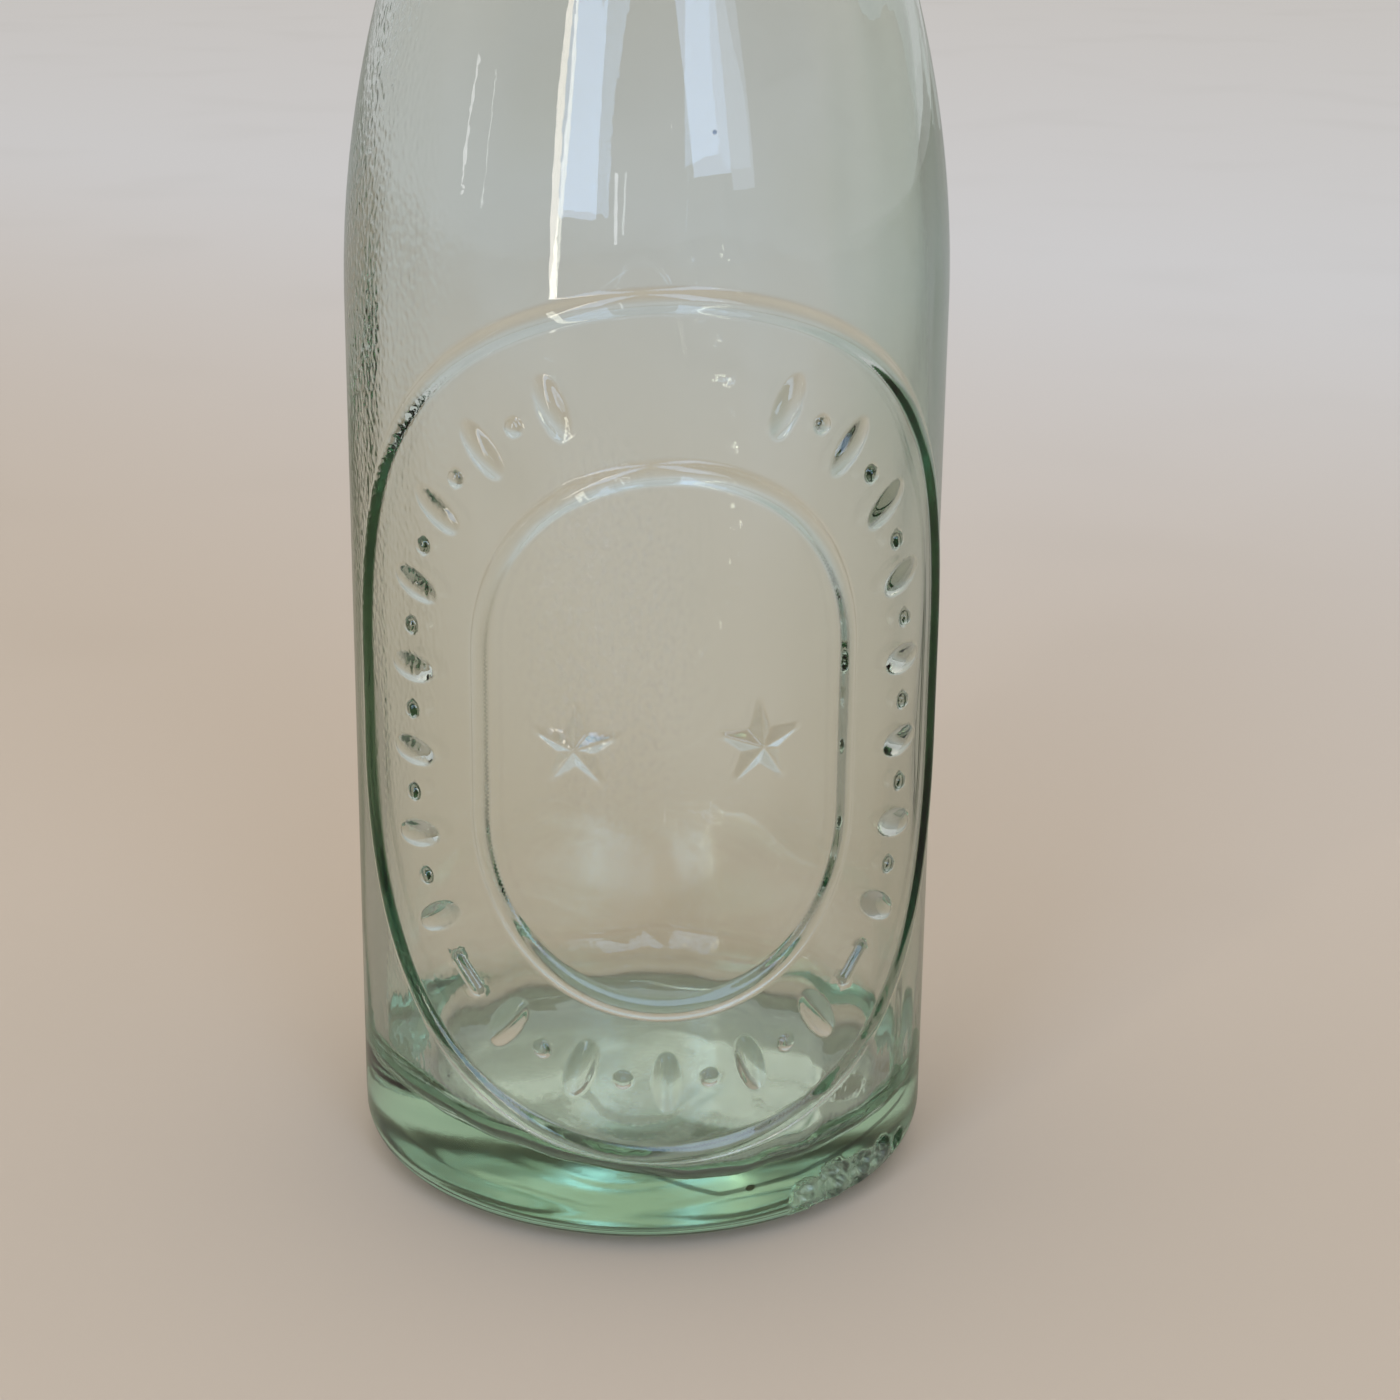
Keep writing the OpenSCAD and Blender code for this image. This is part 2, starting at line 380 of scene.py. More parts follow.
@dataclass(frozen=True)
class Boss:
    """A small raised figure with its own place and direction on the unrolled wall."""

    s: float
    z: float
    angle: float = 0.0
    length: float = 2.6
    width: float = 2.6
    height: float = 1.0
    foot: Pair = (0.6, 0.6)
    step: float = 0.32

    def relief(self, s: Array, z: Array) -> Array:
        """Height of the figure.

        Args:
            s: Places round the wall.
            z: Places up the wall.

        Returns:
            Heights, below zero outside the figure.
        """
        return self.back(*turned(s - self.s, z - self.z, self.angle))

    def back(self, x: Array, y: Array) -> Array:
        """Height of the figure's back at places along and across it."""
        raise NotImplementedError

    def mesh_points(self) -> Array:
        """A fine hexagonal grid over the figure and its foot.

        Returns:
            The points, round and up the wall.
        """
        reach, half_width = self.length / 2 + self.foot[0], self.width / 2 + self.foot[1]
        x, y = hex_grid((-reach, reach), (-half_width, half_width), self.step).T
        inside = (x / reach) ** 2 + (y / half_width) ** 2 < 1.0
        s, z = turned(x[inside], y[inside], -self.angle)
        return np.stack([s + self.s, z + self.z], 1)


@dataclass(frozen=True)
class Grain(Boss):
    """Half a spindle that lies across the belt, pointed at both ends."""

    length: float = 9.5
    width: float = 4.0
    foot: Pair = (0.8, 0.7)
    step: float = 0.4
    edge_share: float = 0.95
    fall: float = 2.0

    def back(self, x: Array, y: Array) -> Array:
        """Height of the grain's back.

        Args:
            x: Places along the grain.
            y: Places across it.

        Returns:
            Heights, below zero outside the grain.
        """
        sweep_r = arc_radius(self.length / 2, self.height)
        middle = np.sqrt(np.maximum(sweep_r**2 - x**2, 0.0)) - sweep_r + self.height
        middle = np.maximum(middle, DEPTH_OUTSIDE)
        back_r = arc_radius(self.width / 2, self.height)
        edge = self.edge_share * back_r
        back = np.sqrt(np.maximum(back_r**2 - np.minimum(np.abs(y), edge) ** 2, 0.0))
        return middle - back_r + back - self.fall * np.maximum(np.abs(y) - edge, 0.0)


@dataclass(frozen=True)
class Pearl(Boss):
    """The cap of a sphere between two grains."""

    def back(self, x: Array, y: Array) -> Array:
        """Height of the cap, below zero outside it."""
        return round_back(np.hypot(x, y), self.width, self.height)


@dataclass(frozen=True)
class Dash(Boss):
    """A short bar with a round back and round ends, along the belt."""

    length: float = 7.4
    width: float = 2.2

    def back(self, x: Array, y: Array) -> Array:
        """Height of the bar, below zero outside it."""
        reach = (self.length - self.width) / 2
        return round_back(np.hypot(x - np.clip(x, -reach, reach), y), self.width, self.height)


@dataclass(frozen=True)
class Emblem:
    """The raised emblem on the front: two rings, two stars, and a belt of grains and pearls."""

    centre_z: float = 78.0
    outer_w: float = 108.0
    outer_h: float = 124.0
    inner_w: float = 55.0
    inner_h: float = 78.0
    star_gap: float = 25.8
    grain_pitch: float = 12.5
    side_grains: int = 8
    foot_grains: int = 5
    dash_clear: float = 3.5
    softness: float = 0.22

    def on_belt(self, along: float, side: Side) -> Triple:
        """A place on the belt's middle line.

        Args:
            along: Distance from the belt's lowest point.
            side: The side on which the belt is followed upwards.

        Returns:
            The place round and up the wall, and the direction across the belt in degrees.
        """
        belt_r = (self.outer_w + self.inner_w) / 4
        straight = (self.outer_h + self.inner_h) / 2 - 2 * belt_r
        over = along - belt_r * math.pi / 2
        angle = (min(over, 0.0) + max(over - straight, 0.0)) / belt_r
        rise = max(0.0, min(over, straight)) - straight / 2
        s = side.value * belt_r * math.cos(angle)
        z = self.centre_z + rise + belt_r * math.sin(angle)
        return s, z, side.value * math.degrees(angle)

    def figures(self) -> list[Figure]:
        """Lays out the emblem.

        Returns:
            Every raised figure of it.
        """
        made: list[Figure] = [
            Ring(self.outer_w, self.outer_h, self.centre_z),
            Ring(self.inner_w, self.inner_h, self.centre_z),
        ]
        made += [Star(side.value * self.star_gap / 2, self.centre_z) for side in Side]
        foot_end = (self.foot_grains - 1) / 2 * self.grain_pitch
        dash_at = foot_end + Grain.width / 2 + self.dash_clear + Dash.length / 2
        side_start = dash_at + Dash.length / 2 + self.dash_clear + Grain.width / 2
        for i in range(2 * self.foot_grains - 1):
            along = -foot_end + i * self.grain_pitch / 2
            made.append(self._grain_or_pearl(i, abs(along), Side.RIGHT if along > 0 else Side.LEFT))
        for side in Side:
            s, z, across = self.on_belt(dash_at, side)
            made.append(Dash(s, z, across + RIGHT_ANGLE))
            for i in range(2 * self.side_grains - 1):
                made.append(self._grain_or_pearl(i, side_start + i * self.grain_pitch / 2, side))
        return made

    def _grain_or_pearl(self, step: int, along: float, side: Side) -> Figure:
        """A grain at each even step of a run and a pearl at each odd one."""
        s, z, across = self.on_belt(along, side)
        return Pearl(s, z) if step % 2 else Grain(s, z, across)

    def relief(self, s: Array, z: Array) -> Array:
        """Height of the whole emblem over the wall.

        Args:
            s: Places round the wall.
            z: Places up the wall.

        Returns:
            Heights of zero or more.
        """
        height = np.full(np.broadcast(s, z).shape, DEPTH_OUTSIDE)
        for figure in self.figures():
            height = np.maximum(height, figure.relief(s, z))
        return soft_floor(height, self.softness)


@dataclass(frozen=True)
class Flake:
    """One shell-shaped flake of the bruise, with its turn and tilt in degrees."""

    turn: float
    tilt: float
    radius: float
    depth: float


@dataclass(frozen=True)
class Bruise:
    """The place on the heel where flakes were knocked out of the glass and their beds crushed."""

    angle: float = 42.0
    depth: float = 1.3
    flakes: tuple[Flake, ...] = (
        Flake(-13, 8, 5, 0.7),
        Flake(-6, 4, 6, 1.0),
        Flake(2, 6, 5, 0.8),
        Flake(9, 3, 6, 0.6),
        Flake(17, 6, 5, 0.4),
        Flake(-12, 42, 4, 0.6),
        Flake(-5, 45, 5, 0.9),
        Flake(3, 40, 4.5, 0.7),
    )
    facets: int = 1400
    facet_turn: float = 0.6
    facet_r: float = 43.0
    facet_top: float = 13.0
    facet_tilt: float = 0.5
    facet_bed: float = 0.18
    facet_depths: Pair = (-0.1, 0.6)
    crushed_top: float = 14.0
    brink: float = 0.25

    def carve(self, points: Array, normals: Array, heel_r: float, body_r: float) -> Array:
        """Sinks the surface into every flake.

        Args:
            points: Points of the outer skin.
            normals: Outward unit normals at those points.
            heel_r: Rounding of the heel.
            body_r: Radius of the body.

        Returns:
            How far each point goes in along its normal.
        """
        sunk = np.zeros(len(points))
        for flake in self.flakes:
            reach = heel_r + flake.radius - self.depth * flake.depth
            turn, tilt = math.radians(self.angle + flake.turn), math.radians(flake.tilt)
            out = body_r - heel_r + reach * math.cos(tilt)
            z = heel_r - reach * math.sin(tilt)
            centre = np.array([out * math.sin(turn), -out * math.cos(turn), z])
            off = points - centre
            along = np.einsum("ij,ij->i", off, normals)
            inside = flake.radius**2 - np.einsum("ij,ij->i", off, off)
            depth = along + np.sqrt(np.maximum(along**2 + inside, 0.0))
            sunk = np.maximum(sunk, np.where(inside > 0, depth, 0.0))
        return np.maximum(sunk + self.crushed(points) * smooth_step(0.0, self.brink, sunk), 0.0)

    def crushed(self, points: Array) -> Array:
        """Depth of the small tilted facets into which the flakes' beds are crushed.

        Args:
            points: Points of the outer skin.

        Returns:
            A depth for each point, which is zero away from the bruise.
        """
        rng = np.random.default_rng(SEED)
        middle = math.radians(self.angle)
        turn = np.arctan2(points[:, 0], -points[:, 1]) - middle
        near = np.flatnonzero((np.abs(turn) < self.facet_turn) & (points[:, 2] < self.crushed_top))
        depth = np.zeros(len(points))
        if not len(near):
            return depth
        a = middle + rng.uniform(-self.facet_turn, self.facet_turn, self.facets)
        z = rng.uniform(0.0, self.facet_top, self.facets)
        seeds = np.stack([self.facet_r * np.sin(a), -self.facet_r * np.cos(a), z], 1)
        tilts = rng.normal(0.0, self.facet_tilt, (self.facets, 3))
        own = np.argmin(((points[near, None, :] - seeds[None]) ** 2).sum(2), axis=1)
        off = points[near] - seeds[own]
        depth[near] = self.facet_bed + np.einsum("ij,ij->i", off, tilts[own])
        return np.clip(depth, *self.facet_depths)


Socket = bpy.types.NodeSocket
Value = Socket | float | tuple


class Wiring:
    """Short names for the nodes of one node tree."""

    def __init__(self, tree: bpy.types.NodeTree) -> None:
        """Takes the node tree of a material, world or group, and empties it."""
        self.tree = tree
        tree.nodes.clear()

    @classmethod
    def of_material(cls, name: str) -> tuple[bpy.types.Material, Wiring]:
        """Starts a node material.

        Args:
            name: Name of the material.

        Returns:
            The material and its wiring.
        """
        made = bpy.data.materials.new(name)
        made.use_nodes = True
        return made, cls(made.node_tree)

    def node(self, kind: str, inputs: dict[int | str, Value], **settings: object) -> bpy.types.Node:
        """Adds a node.

        Args:
            kind: The node's type, without its Shader prefix where it has one.
            inputs: What each input gets, by name or number: a socket to link or a plain value.
            settings: The node's own properties.

        Returns:
            The node.
        """
        made = self.tree.nodes.new(kind if kind.startswith("Node") else "ShaderNode" + kind)
        for name, setting in settings.items():
            setattr(made, name, setting)
        for name, value in inputs.items():
            if isinstance(value, Socket):
                self.tree.links.new(value, made.inputs[name])
            else:
                made.inputs[name].default_value = value
        return made

    def math(self, operation: str, first: Value, second: Value = 0.0) -> Socket:
        """The result of a Math node."""
        return self.node("Math", {0: first, 1: second}, operation=operation).outputs[0]

    def product(self, first: Value, *others: Value) -> Socket:
        """The product of some values.

        Args:
            first: The first value.
            others: The values that it is multiplied by, one after another.

        Returns:
            The product.
        """
        for other in others:
            first = self.math("MULTIPLY", first, other)
        return first

    def most(self, first: Value, second: Value) -> Socket:
        """The greater one of two values."""
        return self.math("MAXIMUM", first, second)

    def vector(self, operation: str, first: Value, second: Value = (0.0, 0.0, 0.0)) -> Socket:
        """The vector that a Vector Math node gives."""
        return self.node("VectorMath", {0: first, 1: second}, operation=operation).outputs["Vector"]

    def length(self, vector: Value) -> Socket:
        """The length of a vector."""
        return self.node("VectorMath", {0: vector}, operation="LENGTH").outputs["Value"]

    def ramp(self, value: Value, low: float, high: float, start: float = 0.0, end: float = 1.0) -> Socket:
        """A smooth rise or fall from start to end as a value goes from low to high."""
        inputs = {"Value": value, "From Min": low, "From Max": high, "To Min": start, "To Max": end}
        return self.node("MapRange", inputs, interpolation_type="SMOOTHSTEP").outputs[0]

    def mix(self, share: Value, first: Value, second: Value, blend: Blend = Blend.COVER) -> Socket:
        """A mix of two colours."""
        inputs = {0: share, 6: first, 7: second}
        return self.node("Mix", inputs, data_type="RGBA", blend_type=blend.value).outputs[2]

    def noise(self, place: Value, scale: Value, detail: float = 0.0) -> Socket:
        """Noise from 0 to 1."""
        return self.node("TexNoise", {"Vector": place, "Scale": scale, "Detail": detail}).outputs["Fac"]


@dataclass(frozen=True)
class Effects:
    """The surface effects that the glass and the table share, as node groups."""

    patches: bpy.types.NodeTree

    @classmethod
    def make(cls) -> Effects:
        """Builds the groups once."""
        return cls(cls._patches())

    @staticmethod
    def _patches() -> bpy.types.NodeTree:
        """Soft uneven patches, as dust and wiping leave them.

        Returns:
            The group, which takes a place, the patches' scale, cover and edge, and puts out their mask.
        """
        tree = bpy.data.node_groups.new("soft_patches", "ShaderNodeTree")
        tree.interface.new_socket(name="Place", in_out="INPUT", socket_type="NodeSocketVector")
        for name, usual in (("Scale", 40.0), ("Cover", 0.5), ("Edge", 0.15)):
            made = tree.interface.new_socket(name=name, in_out="INPUT", socket_type="NodeSocketFloat")
            made.default_value = usual
        tree.interface.new_socket(name="Mask", in_out="OUTPUT", socket_type="NodeSocketFloat")
        w = Wiring(tree)
        place, scale, cover, edge = list(w.node("NodeGroupInput", {}).outputs)[:4]
        over = w.math("SUBTRACT", w.noise(place, scale, 1.0), w.math("SUBTRACT", 1.0, cover))
        w.node("NodeGroupOutput", {"Mask": w.ramp(w.math("DIVIDE", over, edge), 0.0, 1.0)})
        return tree


@dataclass(frozen=True)
class Place:
    """The sockets that say where a point of the bottle's surface lies, in metres."""

    point: Socket
    along: dict[Along, Socket]

    @classmethod
    def of(cls, w: Wiring) -> Place:
        """Adds the nodes for it.

        Args:
            w: The material's wiring.

        Returns:
            The place.
        """
        point = w.node("TexCoord", {}).outputs["Object"]
        x, y, z = w.node("SeparateXYZ", {0: point}).outputs
        reach = w.length(w.vector("MULTIPLY", point, LEVEL))
        return cls(point, {Along.X: x, Along.Y: y, Along.Z: z, Along.REACH: reach})


@dataclass(frozen=True)
class Zone:
    """A part of the bottle within soft limits: each a measure, where the mask is 0, and where it is 1."""

    limits: tuple[tuple[Along, float, float], ...]

    def mask(self, w: Wiring, place: Place) -> Socket:
        """1 inside the zone and 0 outside it."""
        return w.product(*(w.ramp(place.along[along], *edge) for along, *edge in self.limits))


@dataclass(frozen=True)
class Spot:
    """An oval spot on the wall.

    The turn is its angle from the front towards +X, in degrees. The centre is its middle before it is
    turned there, and the size is half its size across, inwards and up, in metres.
    """

    turn: float
    centre: Triple
    size: Triple
    soft: float = 0.8

    def mask(self, w: Wiring, place: Place) -> Socket:
        """The mask of the spot.

        Args:
            w: The material's wiring.
            place: Place on the bottle.

        Returns:
            1 inside the spot and 0 outside it.
        """
        turn = {"Vector": place.point, "Angle": -math.radians(self.turn)}
        local = w.node("VectorRotate", turn, rotation_type="Z_AXIS").outputs[0]
        sized = w.vector("DIVIDE", w.vector("SUBTRACT", local, self.centre), self.size)
        return w.ramp(w.length(sized), 1.0, self.soft)


@dataclass(frozen=True)
class Lap:
    """The thin brown line of the lap on the heel, with its dark speck.

    It is lowest right of the front, and climbs from there to both sides. Lengths are in metres, and
    along the wall they count from the front.
    """

    wall_r: float = 0.044
    lowest_at: float = 0.008
    lowest_z: float = 0.0087
    span: float = 0.04
    right_climb: float = 0.0042
    right_power: float = 1.5
    left_climb: float = -0.014
    wander: float = 0.0011
    wander_scale: float = 160.0
    half_width: Pair = (0.0005, 0.0003)
    skin: Pair = (0.0425, 0.0432)
    start: Pair = (-0.007, 0.0)
    end: Pair = (0.05, 0.046)
    strength: float = 0.85
    speck: Spot = Spot(16.6, (0.0, -0.044, 0.0093), (0.0009, 0.001, 0.0006))

    def mask(self, w: Wiring, place: Place) -> Socket:
        """The mask of the line and the speck.

        Args:
            w: The material's wiring.
            place: Place on the bottle.

        Returns:
            1 on the speck, a little less on the line, and 0 elsewhere.
        """
        turn = w.math("ARCTAN2", place.along[Along.X], w.product(place.along[Along.Y], -1.0))
        around = w.product(turn, self.wall_r)
        share = w.math("DIVIDE", w.math("SUBTRACT", around, self.lowest_at), self.span)
        right = w.product(w.math("POWER", w.most(share, 0.0), self.right_power), self.right_climb)
        left = w.product(w.math("MINIMUM", share, 0.0), self.left_climb)
        wander = w.product(w.noise(place.point, self.wander_scale), self.wander)
        line_z = w.math("ADD", w.math("ADD", right, left), w.math("ADD", wander, self.lowest_z))
        off = w.math("ABSOLUTE", w.math("SUBTRACT", place.along[Along.Z], line_z))
        across = w.product(w.ramp(off, *self.half_width), w.ramp(place.along[Along.REACH], *self.skin))
        ends = w.product(w.ramp(around, *self.start), w.ramp(around, *self.end))
        return w.most(w.product(across, ends, self.strength), self.speck.mask(w, place))


@dataclass(frozen=True)
class Specks:
    """Dark specks in the glass, at most one in each cell of a grid."""

    cells: Triple = (90.0, 90.0, 90.0)
    middle: Triple = (0.5, 0.5, 0.5)
    rare: float = 0.6
    size: float = 0.12
    soft: float = 0.01

    def mask(self, w: Wiring, place: Place) -> Socket:
        """The mask of the specks.

        Args:
            w: The material's wiring.
            place: Place on the bottle.

        Returns:
            1 on the specks and 0 between them.
        """
        scaled = w.vector("MULTIPLY", place.point, self.cells)
        drawn = w.node("TexWhiteNoise", {"Vector": w.vector("FLOOR", scaled)}).outputs["Value"]
        off = w.length(w.vector("SUBTRACT", w.vector("FRACTION", scaled), self.middle))
        size = w.product(w.math("SUBTRACT", drawn, self.rare), self.size)
        return w.ramp(w.math("SUBTRACT", size, off), 0.0, self.soft)


Limit = tuple[Along, float, float]
WITHIN_SKIN: Limit = (Along.REACH, 0.0425, 0.0418)
WITHIN_HEEL: Limit = (Along.REACH, 0.0385, 0.0355)
NEAR_FLOOR: Limit = (Along.Z, 0.034, 0.028)


@dataclass(frozen=True)
class GreenGlass:
    """Clear soda-lime glass with the pale green of iron in it, worn under the base and a little dusty.

    The tint and density colour the glass by its depth. The films colour its surface, more so high up and
    where dust and haze lie on it, and not at all on the floor and the bruise. Towards the right side, and
    most on the right flank, they are painted shade. A ramp gives where it starts and ends, and its value at
    both.
    """

    ior: float = 1.52
    tint: Colour = (0.43, 0.625, 0.455, 1.0)
    density: float = 25.0
    film: Colour = (0.967, 0.993, 0.98, 1.0)
    high_film: Colour = (0.912, 0.936, 0.93, 1.0)
    # Colour of dust and haze, also used as painted shade on the right side
    dust_and_shade_film: Colour = (0.89, 0.91, 0.87, 1.0)
    # Painted shade: the dark green-grey of the upper right flank
    flank_shade: Colour = (0.76, 0.83, 0.78, 1.0)
    high: Zone = Zone(((Along.Z, 0.1, 0.145),))
    flank: Zone = Zone(((Along.X, 0.031, 0.041), (Along.Z, 0.09, 0.12)))
    # Painted shade: where the right side of the glass darkens towards its edge
    right: Zone = Zone(((Along.X, 0.020, 0.036),))
    band: Zone = Zone(((Along.X, -0.024, -0.035), (Along.Z, 0.05, 0.10), (Along.Y, 0.0, -0.006)))
    clear: Zone = Zone((WITHIN_SKIN, NEAR_FLOOR))
    right_shade: float = 0.9
    band_soil: float = 0.35
    dust_soil: float = 0.7
    dust_scale: float = 22.0
    dust_cover: float = 0.4
    dust_rough: float = 0.06
    under: Zone = Zone((WITHIN_HEEL, (Along.Z, 0.0048, 0.0044)))
    under_rough: float = 0.12
    floor: Zone = Zone((WITHIN_HEEL, (Along.Z, 0.0048, 0.0052), NEAR_FLOOR))
    floor_rough: float = 0.04
    bruise: Spot = Spot(41.0, (0.0, -0.0435, 0.0045), (0.0135, 0.005, 0.0052))
    bruise_rough: float = 0.45
    pitted: Spot = Spot(-11.5, (0.0, -0.044, 0.094), (0.016, 0.02, 0.036), 0.4)
    pits: Ramp = (0.45, 0.75, 0.05, 0.5)
    coat_rough: float = 0.4
    coat_ior: float = 2.4
    peel_stretch: Triple = (1.0, 1.0, 0.7)
    peel_scale: float = 1250.0
    peel_height: float = 0.00006
    left_peel: Ramp = (0.0, -0.03, 0.02, 0.1)
    floor_edge: Zone = Zone(((Along.REACH, 0.018, 0.034), (Along.Z, 0.03, 0.02)))
    floor_side: Zone = Zone((WITHIN_SKIN, (Along.Z, 0.005, 0.006)))
    floor_peel: float = 0.35
    band_peel: float = 0.75
    bruise_peel: float = 5.0
    pitted_peel: float = 0.5
    lap: Lap = Lap()
    specks: Specks = Specks()
    mark_colour: Colour = (0.02, 0.014, 0.008, 1.0)

    def material(self, effects: Effects) -> bpy.types.Material:
        """The node material of the glass.

        Args:
            effects: The shared surface effects.

        Returns:
            The material.
        """
        mat, w = Wiring.of_material("green_glass")
        place = Place.of(w)
        dust = {"Place": place.point, "Scale": self.dust_scale, "Cover": self.dust_cover}
        dusty = w.node("Group", dust, node_tree=effects.patches).outputs["Mask"]
        peel = w.noise(w.vector("MULTIPLY", place.point, self.peel_stretch), self.peel_scale)
        bruise, pitted = self.bruise.mask(w, place), self.pitted.mask(w, place)
        band = self.band.mask(w, place)
        uneven = ((band, self.band_peel), (bruise, self.bruise_peel), (pitted, self.pitted_peel))
        glass = w.node("BsdfPrincipled", {
            "Base Color": self._colour(w, place, dusty, band, bruise),
            "Roughness": self._roughness(w, place, dusty, bruise),
            "IOR": self.ior,
            "Transmission Weight": 1.0,
            "Normal": self._normal(w, place, peel, *uneven),
            "Coat Weight": w.most(bruise, w.product(pitted, w.ramp(peel, *self.pits))),
            "Coat Roughness": self.coat_rough,
            "Coat IOR": self.coat_ior,
        })
        volume = w.node("VolumeAbsorption", {"Color": self.tint, "Density": self.density})
        w.node("OutputMaterial", {"Surface": glass.outputs[0], "Volume": volume.outputs[0]})
        return mat

    def _colour(self, w: Wiring, place: Place, dusty: Socket, band: Socket, bruise: Socket) -> Socket:
        """Colour of the thin film on the glass: painted shade on the right, and the dark specks and the
        lap's line on it.

        Args:
            w: The material's wiring.
            place: Place on the bottle.
            dusty: Mask of the dust.
            band: Mask of the hazy band on the left.
            bruise: Mask of the bruise.

        Returns:
            The colour.
        """
        # Painted shade: the right side is darkened towards its edge with the dust colour
        right = w.product(self.right.mask(w, place), self.right_shade)
        soil_and_shade = w.most(w.product(dusty, self.dust_soil), w.most(w.product(band, self.band_soil), right))
        film = w.mix(self.high.mask(w, place), self.film, self.high_film)
        film = w.mix(soil_and_shade, film, self.dust_and_shade_film)
        # Painted shade: the upper right flank is darkened further to a dark green-grey
        film = w.mix(self.flank.mask(w, place), film, self.flank_shade)
        film = w.mix(w.most(bruise, self.clear.mask(w, place)), film, CLEAR)
        return w.mix(w.most(self.lap.mask(w, place), self.specks.mask(w, place)), film, self.mark_colour)

    def _roughness(self, w: Wiring, place: Place, dusty: Socket, bruise: Socket) -> Socket:
        """Roughness: polished, but for dust, a worn underside, a hazy floor and a crushed bruise.

        Args:
            w: The material's wiring.
            place: Place on the bottle.
            dusty: Mask of the dust.
            bruise: Mask of the bruise.

        Returns:
            The roughness.
        """
        rough = w.product(dusty, self.dust_rough)
        under, floor = self.under.mask(w, place), self.floor.mask(w, place)
        rougher = ((under, self.under_rough), (floor, self.floor_rough), (bruise, self.bruise_rough))
        for mask, more in rougher:
            rough = w.math("ADD", rough, w.product(mask, more))
        return rough

    def _normal(self, w: Wiring, place: Place, peel: Socket, *uneven: tuple[Socket, float]) -> Socket:
        """Fine unevenness like orange peel.

        Args:
            w: The material's wiring.
            place: Place on the bottle.
            peel: Noise that the surface follows.
            uneven: Masks of the places with more of it besides the floor, and how much.

        Returns:
            The normal.
        """
        amount = w.ramp(place.along[Along.X], *self.left_peel)
        floor = w.product(self.floor_edge.mask(w, place), self.floor_side.mask(w, place))
        for mask, share in ((floor, self.floor_peel), *uneven):
            amount = w.most(amount, w.product(mask, share))
        return w.node("Bump", {"Height": peel, "Distance": self.peel_height, "Strength": amount}).outputs[0]


class Mesh:
    """Vertices and faces of one closed surface, as they are made."""

    def __init__(self) -> None:
        """Starts empty."""
        self.points: list[Array] = []
        self.faces: list[tuple[int, ...]] = []
        self.count = 0

    def add(self, points: Array) -> Array:
        """Adds points.

        Args:
            points: The points, in millimetres.

        Returns:
            Their indices.
        """
        self.points.append(points)
        first = self.count
        self.count += len(points)
        return np.arange(first, self.count)

    def bridge(self, low: Array, high: Array) -> None:
        """Joins two rows of the same length, or a row and a single point.

        Args:
            low: Indices of the row that comes first on the way from the base over the lip to the floor.
            high: Indices of the next row.
        """
        if len(low) == 1:
            self.faces += [(low[0], b, a) for a, b in zip(high, np.roll(high, -1))]
        elif len(high) == 1:
            self.faces += [(a, b, high[0]) for a, b in zip(low, np.roll(low, -1))]
        else:
            self.faces += list(zip(low, np.roll(low, -1), np.roll(high, -1), high))

    def stack(self, last: Array, rows: list[Array]) -> Array:
        """Adds rows of points one after another, each joined to the one before.

        Args:
            last: Indices of the row to start from.
            rows: Points of the rows to add.

        Returns:
            Indices of the last row.
        """
        for points in rows:
            row = self.add(points)
            self.bridge(last, row)
            last = row
        return last

    def to_object(self, name: str) -> bpy.types.Object:
        """Hands the surface over, smooth-shaded and in metres.

        Args:
            name: Name of the object.

        Returns:
            The object.
        """
        used = np.unique(np.concatenate([np.asarray(face) for face in self.faces]))
        fresh = np.zeros(self.count, dtype=int)
        fresh[used] = np.arange(len(used))
        points = np.concatenate(self.points)[used] * MM
        made = new_object(name, points.tolist(), [tuple(fresh[list(face)].tolist()) for face in self.faces])
        made.data.shade_smooth()
        return made


def new_object(name: str, points: list[Triple], faces: list[tuple[int, ...]]) -> bpy.types.Object:
    """Makes a mesh object and puts it into the scene.

    Args:
        name: Name of the object and its mesh.
        points: Its points.
        faces: Its faces, as indices of points.

    Returns:
        The object.
    """
    mesh = bpy.data.meshes.new(name)
    mesh.from_pydata(points, [], faces)
    mesh.update()
    made = bpy.data.objects.new(name, mesh)
    bpy.context.scene.collection.objects.link(made)
    return made


def line(start: Pair, end: Pair, step: float) -> Array:
    """Points of a straight stretch of the section, without its last point.

    Args:
        start: First end, as radius and height.
        end: Second end.
        step: Distance between two points.

    Returns:
        The points, as radius and height.
    """
    count = max(1, round(math.dist(start, end) / step))
    t = np.arange(count)[:, None] / count
    return np.array(start) * (1 - t) + np.array(end) * t


def arc(centre: Pair, radius: float, turn: Pair, step: float) -> Array:
    """Points of a round stretch of the section, without its last point.

    Args:
        centre: Centre of the arc, as radius and height.
        radius: Radius of the arc.
        turn: First and last direction from the centre, in degrees.
        step: Distance between two points.

    Returns:
        The points, as radius and height.
    """
    first, last = map(math.radians, turn)
    count = max(2, round(abs(last - first) * radius / step))
    a = first + (last - first) * np.arange(count) / count
    return np.stack([centre[0] + radius * np.cos(a), centre[1] + radius * np.sin(a)], 1)


def s_curve(r_low: float, r_high: float, convex_r: float, concave_r: float) -> Pair:
    """Two tangent arcs that lead from one radius to a smaller one.

    Args:
        r_low: Radius at the lower end.
        r_high: Radius at the upper end.
        convex_r: Radius of the lower arc.
        concave_r: Radius of the upper arc.

    Returns:
        Their height together, and the angle that each turns through in degrees.
    """
    reach = convex_r + concave_r
    across = reach - (r_low - r_high)
    return math.sqrt((reach - TOUCH) ** 2 - across**2), math.degrees(math.acos(across / reach))


